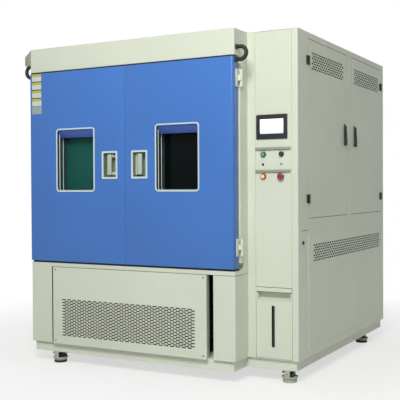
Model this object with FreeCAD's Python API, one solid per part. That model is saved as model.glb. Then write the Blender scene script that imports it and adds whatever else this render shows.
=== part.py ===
import FreeCAD
import Part
import math
import os
from FreeCAD import Vector as V

# Light fastness test chamber, millimetres.
# Cabinet coordinates: x from the left side, y from the door face backwards, z from the floor.

# Overall sizes
MAIN_W = 1530.0
COLUMN_W = 325.0
FULL_W = MAIN_W + COLUMN_W
DEPTH = 1950.0
HEIGHT = 2097.0
STEP_BACK = 180.0
PLINTH_Z = 75.0
SKIN_Z = PLINTH_Z + 62.0
BASE_TOP_Z = 670.0
HEADER_Z = HEIGHT - 155.0
PLINTH_INSET = 18.0
SHEET = 2.0
EDGE_R = 8.0
MID_X = MAIN_W / 2

# Doors
DOOR_Z0 = BASE_TOP_Z + 13.0
DOOR_Z1 = HEADER_Z - 9.0
DOOR_T = 60.0
DOOR_X0 = MID_X + 2.0
DOOR_X1 = MAIN_W - 4.0
FRAME_Y = DOOR_T + 14.0
OPEN_X0 = MID_X + 40.0
OPEN_X1 = MAIN_W - 90.0
OPEN_Z0 = BASE_TOP_Z + 100.0
OPEN_Z1 = HEADER_Z - 92.0
PLUG_GAP = 15.0
PLUG_BACK = DOOR_T + 39.0
CHAMBER_BACK = 1150.0

# Windows and handles of the right door
WIN_X = (MID_X + MAIN_W) / 2 + 0.5
WIN_W = 315.0
WIN_H = 412.0
WIN_Z = 1347.0
WIN_BORDER = 18.0
PULL_X0 = MID_X + 52.0
PULL_X1 = PULL_X0 + 120.0
PULL_Z0 = 1222.0
PULL_Z1 = PULL_Z0 + 176.0
PULL_BORDER = 12.0
LEVER_AXIS = (PULL_X0 + 21.0, 17.0)

# Main hinges
HINGE_X = MAIN_W + 14.0
HINGE_Y = DOOR_T + 7.0
HINGE_H = 104.0
HINGE_Z = (DOOR_Z1 - 175.0, DOOR_Z0 + 74.0)
PIN_R = 5.0
RUN = 0.05

# Cable loops
LOOP_R = 12.5
LOOP_Y = 30.0
LOOP_TOP = HEADER_Z + 48.0
LOOP_BOTTOM = DOOR_Z1 - 18.0
LOOP_OUT = 28.0

# Front service panel
VENT_X0 = 190.0
VENT_X1 = MAIN_W - 190.0
VENT_Z0 = SKIN_Z - 7.0
VENT_Z1 = BASE_TOP_Z - 27.0
VENT_GAP = 46.0

# Control column
PANEL_X0 = MAIN_W + 52.0
PANEL_X1 = PANEL_X0 + 235.0
DRAWER_TOP = 566.0
TANK_Z0 = SKIN_Z + 13.0
TANK_BACK = 900.0
SCREEN_X0 = PANEL_X0 + 8.0
SCREEN_Z0 = 1451.0
SCREEN_W = 200.0
SCREEN_H = 146.0

# Side doors
BAY_Y = 1119.5
SIDE_Z0 = 974.0
SIDE_Z1 = HEIGHT - 37.0
SIDE_Y = ((STEP_BACK + 167.0, BAY_Y - 50.5), (BAY_Y + 50.5, DEPTH - 72.0))
SIDE_HINGE_Z = (SIDE_Z1 - 131.0, SIDE_Z0 + 119.0)
SIDE_HINGE_H = 54.0
SIDE_AXIS_X = FULL_W + 6.3
LOCK_Y = (SIDE_Y[0][1] - 45.0, SIDE_Y[1][0] + 67.0)
LOCK_Z0 = 1444.0
LOCK_TOP = 1574.0

# Chamber fittings
RACK_X = MID_X
RACK_Y = 590.0
RACK_R = 440.0
RACK_Z0 = OPEN_Z0 + 170.0
RACK_Z1 = OPEN_Z1 - 182.0
FAN_Z = (OPEN_Z0 + OPEN_Z1) / 2

# Feet
FEET_REAR_Y = DEPTH - 305.0
FEET = {
    "front_left": (190.0, 62.0),
    "front_right": (FULL_W - 80.0, STEP_BACK + 60.0),
    "rear_left": (190.0, FEET_REAR_Y),
    "rear_right": (FULL_W - 80.0, FEET_REAR_Y),
}

# The origin is at the bottom centre of the bounding box, from the left cable loop to the side handles' keys
# and from the panel screws to the water union
LOOP_REACH = LOOP_OUT + (LOOP_TOP - LOOP_BOTTOM) / 2 + 12.08
KEY_REACH = 23.0
SCREW_REACH = 17.0
UNION_REACH = 34.0
ORIGIN_X = (FULL_W + KEY_REACH - LOOP_REACH) / 2
ORIGIN_Y = (DEPTH + UNION_REACH - SCREW_REACH) / 2


def box(x0, x1, y0, y1, z0, z1):
    return Part.makeBox(x1 - x0, y1 - y0, z1 - z0, V(x0, y0, z0))


def cyl(x, y, z, r, h, d=(0, 0, 1)):
    return Part.makeCylinder(r, h, V(x, y, z), V(*d))


def hexagon(x, y, z, r, h, d):
    """Hexagonal prism along the direction d, which is one of the axes."""
    points = []
    for i in range(7):
        a = math.radians(60 * i)
        u, v = r * math.cos(a), r * math.sin(a)
        points.append(V(x, y + u, z + v) if d[0] else V(x + u, y, z + v) if d[1] else V(x + u, y + v, z))
    return Part.Face(Part.makePolygon(points)).extrude(V(*d) * h)


def turned(points, x, y, z, d=(0, 0, 1)):
    """Solid of revolution from (radius, height) points about an axis at x, y, z along d."""
    wire = Part.makePolygon([V(r, 0, h) for r, h in points + points[:1]])
    solid = Part.Face(wire).revolve(V(0, 0, 0), V(0, 0, 1), 360)
    if d[1]:
        solid.rotate(V(0, 0, 0), V(1, 0, 0), -90 * d[1])
    if d[0]:
        solid.rotate(V(0, 0, 0), V(0, 1, 0), 90 * d[0])
    solid.translate(V(x, y, z))
    return solid


def ring(x, y, z, r, bore, h, d=(0, 0, 1)):
    return cyl(x, y, z, r, h, d).cut(cyl(x, y, z, bore, h, d))


def fuse(parts):
    out = parts[0]
    if len(parts) > 1:
        out = out.multiFuse(parts[1:])
    return out.removeSplitter()


def group(parts):
    return Part.makeCompound(parts)


def along(shape, axis, test=None):
    found = []
    for e in shape.Edges:
        if len(e.Vertexes) != 2:
            continue
        d = e.Vertexes[1].Point - e.Vertexes[0].Point
        if d.Length < 1e-6:
            continue
        d.normalize()
        if abs(abs(d.dot(V(*axis))) - 1) > 1e-6:
            continue
        p = e.CenterOfMass
        if test is None or test(p):
            found.append(e)
    return found


def rounded(shape, r, axis, test=None):
    return shape.makeFillet(r, along(shape, axis, test))


def prism_xz(points, y0, y1):
    wire = Part.makePolygon([V(x, y0, z) for x, z in points + points[:1]])
    return Part.Face(wire).extrude(V(0, y1 - y0, 0))


def prism_yz(points, x0, x1):
    wire = Part.makePolygon([V(x0, y, z) for y, z in points + points[:1]])
    return Part.Face(wire).extrude(V(x1 - x0, 0, 0))


def prism_xy(points, z0, z1):
    wire = Part.makePolygon([V(x, y, z0) for x, y in points + points[:1]])
    return Part.Face(wire).extrude(V(0, 0, z1 - z0))


def slots_xz(x0, z0, columns, rows, pitch_x, pitch_z, w, h, shift):
    rects = []
    for j in range(rows):
        for i in range(columns):
            x = x0 + i * pitch_x + (shift if j % 2 else 0.0)
            z = z0 + j * pitch_z
            rects.append((x, x + w, z, z + h))
    return rects


def plate(flat, u0, u1, z0, z1, w, t, rects):
    """Sheet with rectangular slots: flat is "y" for a front plate and "x" for a side plate."""
    def at(u, z):
        return V(u, w, z) if flat == "y" else V(w, u, z)

    def loop(a0, a1, b0, b1):
        return Part.makePolygon([at(a0, b0), at(a1, b0), at(a1, b1), at(a0, b1), at(a0, b0)])
    outer = Part.Face(loop(u0, u1, z0, z1))
    if rects:
        holes = [Part.Face(loop(*r)) for r in rects]
        outer = outer.cut(Part.makeCompound(holes))
    return outer.extrude(V(0, t, 0) if flat == "y" else V(t, 0, 0))


def mirrored(shape):
    return shape.mirror(V(MID_X, 0, 0), V(1, 0, 0))


def outline(offset):
    return [
        (offset, offset),
        (MAIN_W - offset, offset),
        (MAIN_W - offset, STEP_BACK + offset),
        (FULL_W - offset, STEP_BACK + offset),
        (FULL_W - offset, DEPTH - offset),
        (offset, DEPTH - offset),
    ]


def base_frame():
    body = prism_xy(outline(PLINTH_INSET), PLINTH_Z, SKIN_Z)
    pockets = []
    mid_y = DEPTH / 2 + 10
    bays = (
        (75, MID_X - 25, 75),
        (MID_X + 25, MAIN_W - 75, 75),
        (MAIN_W - 25, FULL_W - 75, STEP_BACK + 75),
    )
    for x0, x1, yf in bays:
        pockets.append(box(x0, x1, yf, mid_y - 25, PLINTH_Z, SKIN_Z))
        pockets.append(box(x0, x1, mid_y + 25, DEPTH - 75, PLINTH_Z, SKIN_Z))
    body = body.cut(group(pockets))
    cross = box(PLINTH_INSET, FULL_W - PLINTH_INSET, FEET_REAR_Y - 25, FEET_REAR_Y + 25, PLINTH_Z, SKIN_Z)
    floor = [
        box(SHEET, MAIN_W - SHEET, 26, DEPTH - SHEET, SKIN_Z, SKIN_Z + SHEET),
        box(MAIN_W + SHEET, FULL_W - SHEET, STEP_BACK + 8, DEPTH - SHEET, SKIN_Z, SKIN_Z + SHEET),
    ]
    rails = []
    for x in (PANEL_X0 + 18, PANEL_X1 - 35):
        rails.append(box(x, x + 18, STEP_BACK + 26, TANK_BACK, SKIN_Z + SHEET, TANK_Z0 - 0.3))
    pads = []
    bores = []
    for x, y in FEET.values():
        pads.append(box(x - 60, x + 60, y - 40, y + 60, PLINTH_Z, PLINTH_Z + 8))
        bores.append(cyl(x, y, PLINTH_Z - 1, 10 + RUN, 21))
        pads.append(box(x - 25, x + 25, y - 25, y + 25, PLINTH_Z, PLINTH_Z + 20))
    return fuse([body, cross] + floor + rails + pads).cut(group(bores))


def foot(name):
    x, y = FEET[name]
    profile = [(34, 8), (38, 8), (38, 15), (49, 30), (49, 36), (45, 36), (34.6, 16)]
    bowl = turned(profile, 0, 0, 0)
    bridge = box(-16.5, 16.5, -47, 47, 66, PLINTH_Z - 0.3)
    legs = [box(-16.5, 16.5, -47, -41, 31, 70), box(-16.5, 16.5, 41, 47, 31, 70)]
    stem = cyl(0, 0, PLINTH_Z - 1, 10, 20)
    axle = cyl(-44, 0, 34, 4, 88, (1, 0, 0))
    dial = cyl(-24, -30, 60, 12, 7)
    housing = fuse([bowl, bridge, stem, axle, dial] + legs)
    wheel = cyl(-26, 0, 34, 28, 52, (1, 0, 0))
    wheel = wheel.cut(cyl(-27, 0, 34, 4 + RUN, 54, (1, 0, 0)))
    pad = turned([(33, 0), (42, 0), (42, 14), (38.1, 14), (38.1, 8), (33, 8)], 0, 0, 0)
    out = []
    for s in (housing, wheel, pad):
        s = s.copy()
        s.translate(V(x, y, 0))
        out.append(s)
    return out


POSTS = (VENT_X0 + 20.0, VENT_X1 - 20.0)
POST_SCREWS = (VENT_Z0 + 22.0, VENT_Z1 - 22.0)


def lower_casing():
    outer = box(0, MAIN_W, 0, DEPTH, SKIN_Z, BASE_TOP_Z)
    outer = rounded(outer, EDGE_R, (0, 0, 1), lambda p: p.y < 1)
    inner = box(SHEET, MAIN_W - SHEET, SHEET, DEPTH - SHEET, SKIN_Z - 1, BASE_TOP_Z - SHEET)
    inner = rounded(inner, EDGE_R - SHEET, (0, 0, 1), lambda p: p.y < 3)
    body = outer.cut(inner)
    x0 = VENT_X0 - VENT_GAP
    x1 = VENT_X1 + VENT_GAP
    top = VENT_Z1 + SHEET
    upper = BASE_TOP_Z - 1
    body = body.cut(box(x0, x1, -1, 3, SKIN_Z - 2, top))
    body = body.cut(cyl(RACK_X, RACK_Y, BASE_TOP_Z - 10, 20, 20))
    body = body.cut(box(MID_X - 505, MID_X + 505, DEPTH - 3, DEPTH + 1, 200, BASE_TOP_Z - 70))
    extras = [
        box(x0 - 2, x0, 0, 110, SKIN_Z + 2, upper),
        box(x1, x1 + 2, 0, 110, SKIN_Z + 2, upper),
        box(x0, x1, 0, 58, top, top + 2),
        box(x0, x1, 56, 58, top, upper),
    ]
    for x in POSTS:
        post = box(x - 12, x + 12, 26, 50, SKIN_Z + 2, top + 1)
        studs = [cyl(x, -12, z, 8, 39, (0, 1, 0)) for z in POST_SCREWS]
        extras += [post] + studs
    body = fuse([body] + extras)
    holes = [cyl(x, -13, z, 2.55, 16, (0, 1, 0)) for x in POSTS for z in POST_SCREWS]
    return body.cut(group(holes))


PANEL_SCREWS = [(x, z) for z in POST_SCREWS for x in POSTS]
SERVICE_Y = (STEP_BACK + 170.0, DEPTH - 88.0)
SERVICE_MID = sum(SERVICE_Y) / 2
SIDE_SCREW_Y = (SERVICE_Y[0], SERVICE_MID - 250.0, SERVICE_MID + 250.0, SERVICE_Y[1])
SIDE_SCREWS = [(y, z) for y in SIDE_SCREW_Y for z in (SKIN_Z + 61.0, SIDE_Z0 - 107.0)]
REAR_SCREW_X = (MID_X - 560.0, MID_X, MID_X + 560.0)
REAR_SCREWS = [(x, z) for x in REAR_SCREW_X for z in (SKIN_Z + 28.0, BASE_TOP_Z - 35.0)]


def front_vent_panel():
    columns = int((VENT_X1 - VENT_X0 - 150) / 82)
    rows = int((VENT_Z1 - VENT_Z0 - 270) / 16)
    rects = slots_xz(VENT_X0 + 77.5, VENT_Z0 + 65, columns, rows, 82.0, 16.0, 62.0, 8.0, 30.0)
    face = plate("y", VENT_X0, VENT_X1, VENT_Z0, VENT_Z1, -14, SHEET, rects)
    holes = [cyl(x, -15, z, 2.6, 5, (0, 1, 0)) for x, z in PANEL_SCREWS]
    face = face.cut(group(holes))
    sides = [
        box(VENT_X0, VENT_X0 + 2, -12, 17, VENT_Z0, VENT_Z1),
        box(VENT_X1 - 2, VENT_X1, -12, 17, VENT_Z0, VENT_Z1),
        box(VENT_X0 + 2, VENT_X1 - 2, -12, 17, VENT_Z0, VENT_Z0 + 2),
        box(VENT_X0 + 2, VENT_X1 - 2, -12, 17, VENT_Z1 - 2, VENT_Z1),
    ]
    return face.multiFuse(sides)


def panel_screws():
    out = []
    for x, z in PANEL_SCREWS:
        head = hexagon(x, -17, z, 6, 3, (0, 1, 0))
        out.append(fuse([head, cyl(x, -14, z, 2.5, 14, (0, 1, 0))]))
    for y, z in SIDE_SCREWS:
        out.append(hexagon(FULL_W + SHEET, y, z, 6, 3, (1, 0, 0)))
    for x, z in REAR_SCREWS:
        out.append(hexagon(x, DEPTH + SHEET, z, 6, 3, (0, 1, 0)))
    return group(out)


def main_casing():
    outer = box(0, MAIN_W, FRAME_Y, DEPTH, BASE_TOP_Z, HEADER_Z)
    outer = rounded(outer, EDGE_R, (0, 0, 1), lambda p: p.y < FRAME_Y + 1)
    inner = box(SHEET, MAIN_W - SHEET, FRAME_Y + SHEET, DEPTH - SHEET, BASE_TOP_Z - 1, HEADER_Z + 1)
    inner = rounded(inner, EDGE_R - SHEET, (0, 0, 1), lambda p: p.y < FRAME_Y + 3)
    notch = box(MAIN_W - 46, MAIN_W + 1, FRAME_Y - 1, FRAME_Y + 46, BASE_TOP_Z - 1, BASE_TOP_Z + 43)
    keep = box(MAIN_W - 48, MAIN_W + 3, FRAME_Y - 2, FRAME_Y + 48, BASE_TOP_Z - 2, BASE_TOP_Z + 45)
    outer = outer.cut(group([notch, mirrored(notch)]))
    inner = inner.cut(group([keep, mirrored(keep)]))
    body = outer.cut(inner)
    opening = box(OPEN_X0, OPEN_X1, FRAME_Y - 1, FRAME_Y + 3, OPEN_Z0, OPEN_Z1)
    return body.cut(group([opening, mirrored(opening)]))


def inner_liner():
    t = 1.5
    x0 = MAIN_W - OPEN_X1
    y0 = FRAME_Y + SHEET
    outer = box(x0 - t, OPEN_X1 + t, y0, CHAMBER_BACK + t, OPEN_Z0 - t, OPEN_Z1 + t)
    inner = box(x0, OPEN_X1, y0 - 1, CHAMBER_BACK, OPEN_Z0, OPEN_Z1)
    body = outer.cut(inner)
    post = box(MAIN_W - OPEN_X0, OPEN_X0, y0, y0 + 60, OPEN_Z0, OPEN_Z1)
    post = post.cut(box(MAIN_W - OPEN_X0 + 2, OPEN_X0 - 2, y0 - 1, y0 + 58, OPEN_Z0, OPEN_Z1))
    baffle = box(x0, OPEN_X1, CHAMBER_BACK - 90, CHAMBER_BACK - 88, OPEN_Z0 + 80, OPEN_Z1 - 80)
    baffle = baffle.cut(cyl(RACK_X, CHAMBER_BACK - 91, FAN_Z, 140, 5, (0, 1, 0)))
    body = fuse([body, post, baffle])
    cuts = [
        cyl(RACK_X, RACK_Y, OPEN_Z0 - 5, 20, 10),
        cyl(RACK_X, RACK_Y, OPEN_Z1 - 5, 60, 10),
        cyl(RACK_X, CHAMBER_BACK - 5, FAN_Z, 15, 10, (0, 1, 0)),
    ]
    return body.cut(group(cuts))


def header_cover():
    outer = box(0, MAIN_W, 0, DEPTH, HEADER_Z, HEIGHT)
    outer = rounded(outer, EDGE_R, (0, 0, 1), lambda p: p.y < 1)
    inner = box(SHEET, MAIN_W - SHEET, SHEET, DEPTH - SHEET, HEADER_Z + SHEET, HEIGHT - SHEET)
    inner = rounded(inner, EDGE_R - SHEET, (0, 0, 1), lambda p: p.y < 3)
    body = outer.cut(inner)
    body = body.cut(box(40, MAIN_W - 40, 120, DEPTH - 50, HEADER_Z - 1, HEADER_Z + 3))
    top = HEIGHT - 4
    low = HEADER_Z + 50
    cowl = prism_xz([(0.0, top), (-48.0, top - 43), (-48.0, low), (0.0, low)], 48, 170)
    hollow = prism_xz([(1.0, top - 1.8), (-46.0, top - 43.9), (-46.0, low - 1), (1.0, low - 1)], 50, 171)
    cowl = cowl.cut(hollow)
    return fuse([body, cowl])


def door_window_cut(grow):
    w = WIN_W / 2 - WIN_BORDER + grow
    h = WIN_H / 2 - WIN_BORDER + grow
    return box(WIN_X - w, WIN_X + w, -20, 120, WIN_Z - h, WIN_Z + h)


def door_shell():
    outer = box(DOOR_X0, DOOR_X1, 0, DOOR_T - 2, DOOR_Z0, DOOR_Z1)
    outer = rounded(outer, EDGE_R, (0, 0, 1), lambda p: p.y < 1)
    inner = box(DOOR_X0 + 2, DOOR_X1 - 2, 2, DOOR_T, DOOR_Z0 + 2, DOOR_Z1 - 2)
    inner = rounded(inner, EDGE_R - 2, (0, 0, 1), lambda p: p.y < 3)
    body = outer.cut(inner)
    body = body.cut(door_window_cut(2.0 + 0.3))
    pull = box(PULL_X0 + 9.7, PULL_X1 - 9.7, -5, 5, PULL_Z0 + 9.7, PULL_Z1 - 9.7)
    return body.cut(pull)


def door_liner():
    sheet = box(DOOR_X0 + 0.5, DOOR_X1 - 0.5, DOOR_T - 2, DOOR_T, DOOR_Z0 + 0.5, DOOR_Z1 - 0.5)
    x0 = OPEN_X0 + PLUG_GAP
    x1 = OPEN_X1 - PLUG_GAP
    z0 = OPEN_Z0 + PLUG_GAP
    z1 = OPEN_Z1 - PLUG_GAP
    plug = box(x0, x1, DOOR_T - 1, PLUG_BACK, z0, z1)
    void = box(x0 + 1.5, x1 - 1.5, DOOR_T - 3, PLUG_BACK - 1.5, z0 + 1.5, z1 - 1.5)
    body = fuse([sheet, plug]).cut(void)
    return body.cut(door_window_cut(2.3))


def door_gasket():
    x0 = OPEN_X0 - 34
    x1 = OPEN_X1 + 34
    z0 = OPEN_Z0 - 34
    z1 = OPEN_Z1 + 34
    y0 = DOOR_T
    y1 = FRAME_Y - 0.2
    outer = box(x0, x1, y0, y1, z0, z1)
    inner = box(x0 + 28, x1 - 28, y0 - 1, y1 + 1, z0 + 28, z1 - 28)
    return outer.cut(inner)


def window_frame():
    w = WIN_W / 2
    h = WIN_H / 2
    b = WIN_BORDER
    flange = rounded(box(WIN_X - w, WIN_X + w, -4, 0, WIN_Z - h, WIN_Z + h), 25, (0, 1, 0))
    sleeve = box(WIN_X - w + b - 2, WIN_X + w - b + 2, -1, PLUG_BACK + 1, WIN_Z - h + b - 2, WIN_Z + h - b + 2)
    void = box(WIN_X - w + b, WIN_X + w - b, -6, PLUG_BACK + 2, WIN_Z - h + b, WIN_Z + h - b)
    body = fuse([flange, sleeve]).cut(void)
    top = WIN_Z + h - b
    hood = prism_yz([(2.0, top), (6.0, top), (38.0, top - 48), (34.0, top - 50)],
                    WIN_X - w + b, WIN_X + w - b)
    return fuse([body, hood])


def window_glass():
    w = WIN_W / 2 - WIN_BORDER
    h = WIN_H / 2 - WIN_BORDER
    y0 = DOOR_T + 14
    y1 = PLUG_BACK - 7
    panes = [box(WIN_X - w, WIN_X + w, y, y + 6, WIN_Z - h, WIN_Z + h) for y in (y0, y1)]
    spacer = box(WIN_X - w, WIN_X + w, y0 + 6, y1, WIN_Z - h, WIN_Z + h)
    spacer = spacer.cut(box(WIN_X - w + 8, WIN_X + w - 8, y0 + 5, y1 + 1, WIN_Z - h + 8, WIN_Z + h - 8))
    return fuse(panes + [spacer])


def handle_recess():
    flange = rounded(box(PULL_X0, PULL_X1, -4, 0, PULL_Z0, PULL_Z1), 12, (0, 1, 0))
    b = PULL_BORDER
    pocket = box(PULL_X0 + b - 2, PULL_X1 - b + 2, -1, 42, PULL_Z0 + b - 2, PULL_Z1 - b + 2)
    void = box(PULL_X0 + b, PULL_X1 - b, -6, 40, PULL_Z0 + b, PULL_Z1 - b)
    pin = cyl(LEVER_AXIS[0], LEVER_AXIS[1], PULL_Z0 + b - 1, 3, PULL_Z1 - PULL_Z0 - 2 * b + 2)
    return fuse([fuse([flange, pocket]).cut(void), pin])


def door_lever():
    z0 = PULL_Z0 + PULL_BORDER + 1
    z1 = PULL_Z1 - PULL_BORDER - 1
    ax, ay = LEVER_AXIS
    hub = cyl(ax, ay, z0, 7.5, z1 - z0)
    bar_x = PULL_X0 + 53
    arms = [box(ax, bar_x + 4, ay - 7.5, ay + 3, a, a + 20) for a in (z0, z1 - 20)]
    bar = box(bar_x, bar_x + 32, -3, 10, z0, z1)
    bar = rounded(bar, 5, (0, 0, 1))
    body = fuse([hub, bar] + arms)
    return body.cut(cyl(ax, ay, z0 - 1, 3 + RUN, z1 - z0 + 2))


def door_hinges():
    out = []
    for z in HINGE_Z:
        leaf = box(DOOR_X1, MAIN_W + 1, 8, DOOR_T - 4, z, z + HINGE_H)
        web = box(MAIN_W, HINGE_X + 6, DOOR_T - 10, DOOR_T + 1.5, z + 35, z + HINGE_H - 35)
        knuckle = cyl(HINGE_X, HINGE_Y, z + 35, 9, HINGE_H - 70)
        body = fuse([leaf, web, knuckle]).cut(cyl(HINGE_X, HINGE_Y, z + 30, PIN_R + RUN, HINGE_H - 60))
        out.append(body)
    return group(out)


def main_hinge_base(z):
    leaf = box(MAIN_W, MAIN_W + 5, FRAME_Y + 4, FRAME_Y + 58, z, z + HINGE_H)
    parts = [leaf, cyl(HINGE_X, HINGE_Y, z, PIN_R, HINGE_H)]
    x = HINGE_X
    y = HINGE_Y
    ear = [(x - 13, y + 13), (x - 13, y + 25), (x, y + 25), (x + 8, y + 5), (x - 7, y - 1)]
    for a, b in ((z, z + 34.7), (z + HINGE_H - 34.7, z + HINGE_H)):
        parts.append(cyl(HINGE_X, HINGE_Y, a, 9, b - a))
        parts.append(prism_xy(ear, a, b))
    return fuse(parts)


def side_hinge(edge, away, zc, moving):
    """edge: y of the seam, away: +1 if the door lies towards +y."""
    z0 = zc - SIDE_HINGE_H / 2
    z1 = zc + SIDE_HINGE_H / 2
    x0 = FULL_W
    x1 = FULL_W + 4
    s = away if moving else -away
    a, b = sorted((edge + s * 7, edge + s * 28))
    leaf = box(x0, x1, a, b, z0, z1)
    a, b = sorted((edge + s * 1.0, edge + s * 9))
    if moving:
        parts = [leaf, box(x0 + 1, x1, a, b, zc + 0.15, z1), cyl(SIDE_AXIS_X, edge, zc + 0.15, 6, z1 - zc - 0.15)]
        return fuse(parts).cut(cyl(SIDE_AXIS_X, edge, z0, 3 + RUN, z1 - z0 + 1))
    parts = [leaf, box(x0 + 1, x1, a, b, z0, zc - 0.15), cyl(SIDE_AXIS_X, edge, z0, 6, zc - 0.15 - z0)]
    return fuse(parts + [cyl(SIDE_AXIS_X, edge, z0, 3, z1 - z0)])


def hinge_bases():
    out = []
    for z in HINGE_Z:
        base = main_hinge_base(z)
        out += [base, mirrored(base)]
    for zc in SIDE_HINGE_Z:
        out.append(side_hinge(SIDE_Y[0][0], 1, zc, False))
        out.append(side_hinge(SIDE_Y[1][1], -1, zc, False))
    return group(out)


def cable_loop():
    """Plain C-shaped conduit between the header side and the door side, with a collar at each end."""
    sides = 12
    start = MAIN_W + LOOP_OUT
    zc = (LOOP_TOP + LOOP_BOTTOM) / 2
    section = []
    for i in range(sides):
        a = 2 * math.pi * (i + 0.5) / sides
        section.append((LOOP_R * math.cos(a), LOOP_R * math.sin(a)))
    wire = [V(start, LOOP_Y + u, LOOP_TOP + v) for u, v in section]
    face = Part.Face(Part.makePolygon(wire + wire[:1]))
    bend = face.revolve(V(start, LOOP_Y, zc), V(0, 1, 0), 180)
    upper = face.extrude(V(-LOOP_OUT, 0, 0))
    wire = [V(start, LOOP_Y + u, LOOP_BOTTOM - v) for u, v in section]
    face = Part.Face(Part.makePolygon(wire + wire[:1]))
    lower = face.extrude(V(DOOR_X1 - start, 0, 0))
    collars = [
        cyl(MAIN_W, LOOP_Y, LOOP_TOP, 16, 10, (1, 0, 0)),
        cyl(DOOR_X1, LOOP_Y, LOOP_BOTTOM, 16, 10, (1, 0, 0)),
    ]
    return fuse([bend, upper, lower] + collars)


def column_casing():
    outer = box(MAIN_W, FULL_W, STEP_BACK, DEPTH, SKIN_Z, HEIGHT)
    outer = rounded(outer, EDGE_R, (0, 0, 1), lambda p: p.y < STEP_BACK + 1 and p.x > FULL_W - 55)
    inner = box(MAIN_W + 2, FULL_W - 2, STEP_BACK + 2, DEPTH - 2, SKIN_Z - 1, HEIGHT - 2)
    inner = rounded(inner, EDGE_R - 2, (0, 0, 1), lambda p: p.y < STEP_BACK + 3 and p.x > FULL_W - 55)
    body = outer.cut(inner)
    z0 = SKIN_Z + 4
    z1 = HEIGHT - 4
    cuts = [box(PANEL_X0, PANEL_X1, STEP_BACK - 1, STEP_BACK + 3, z0, z1)]
    for y0, y1 in SIDE_Y:
        cuts.append(box(FULL_W - 3, FULL_W + 1, y0, y1, SIDE_Z0, SIDE_Z1))
    cuts.append(box(FULL_W - 3, FULL_W + 1, STEP_BACK + 180, DEPTH - 98, SKIN_Z + 71, SIDE_Z0 - 117))
    body = body.cut(group(cuts))
    y = STEP_BACK
    front = SIDE_Y[0][1]
    rear = SIDE_Y[1][0]
    extras = [
        box(PANEL_X0 - 2, PANEL_X0, y, y + 24, z0, z1),
        box(PANEL_X1, PANEL_X1 + 2, y, y + 24, z0, z1),
        box(PANEL_X0 - 1, PANEL_X0 + 8, y + 22, y + 24, z0, z1),
        box(PANEL_X1 - 8, PANEL_X1 + 1, y + 22, y + 24, z0, z1),
        box(FULL_W - 24, FULL_W - 1, front, front + 2, SIDE_Z0, SIDE_Z1),
        box(FULL_W - 24, FULL_W - 22, front - 11, front + 2, SIDE_Z0, SIDE_Z1),
        box(FULL_W - 24, FULL_W - 1, rear - 2, rear, SIDE_Z0, SIDE_Z1),
        box(FULL_W - 24, FULL_W - 22, rear - 2, rear + 11, SIDE_Z0, SIDE_Z1),
        box(MAIN_W + 1, FULL_W - 1, BAY_Y - 1.5, BAY_Y + 1.5, SIDE_Z0 - 74, HEIGHT - 1),
    ]
    body = fuse([body] + extras)
    lock = cyl(FULL_W - 1, y + 76, SIDE_Z0 - 142, 11, 6, (1, 0, 0))
    seam = box(FULL_W - 0.8, FULL_W + 1, y + 52, SIDE_Y[0][0], SIDE_Z0 - 71, SIDE_Z0 - 68)
    return fuse([body.cut(seam), lock])


BUTTONS = {
    "green_button": (PANEL_X0 + 54.0, 1361.0, 15.5, 0.0),
    "dark_button": (PANEL_X0 + 170.0, 1361.0, 14.5, 0.0),
    "orange_button": (PANEL_X0 + 54.0, 1229.0, 16.0, 0.0),
    "emergency_stop": (PANEL_X0 + 168.0, 1228.0, 20.0, 14.0),
}
COLLAR = 4.0
PORT = (PANEL_X0 + 51.0, 1301.0)
SOCKET = (PANEL_X0 + 168.0, 1302.0)


def control_panel():
    y = STEP_BACK
    tray = box(PANEL_X0 + 1, PANEL_X1 - 1, y, y + 22, DRAWER_TOP + 2, HEIGHT - 5)
    tray = tray.cut(box(PANEL_X0 + 3, PANEL_X1 - 3, y + 2, y + 23, DRAWER_TOP + 4, HEIGHT - 7))
    sx = SCREEN_X0 + 6.8
    sz = SCREEN_Z0 + 6.8
    cuts = [box(sx, sx + SCREEN_W - 13.6, y - 1, y + 3, sz, sz + SCREEN_H - 13.6)]
    for x, z, r, extra in BUTTONS.values():
        cuts.append(cyl(x, y - 1, z, 11, 5, (0, 1, 0)))
    cuts.append(cyl(PORT[0], y - 1, PORT[1], 5, 5, (0, 1, 0)))
    px, pz = SOCKET
    cuts.append(box(px - 6.5, px + 6.5, y - 1, y + 3, pz - 3.5, pz + 3.5))
    return tray.cut(group(cuts))


def touch_screen():
    y = STEP_BACK
    x0 = SCREEN_X0
    x1 = SCREEN_X0 + SCREEN_W
    z0 = SCREEN_Z0
    z1 = SCREEN_Z0 + SCREEN_H
    bezel = rounded(box(x0, x1, y - 6, y, z0, z1), 6, (0, 1, 0))
    bezel = bezel.cut(box(x0 + 24, x1 - 24, y - 7, y - 4.5, z0 + 31, z1 - 26))
    body = box(x0 + 7, x1 - 7, y - 1, y + 35, z0 + 7, z1 - 7)
    return fuse([bezel, body])


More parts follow.
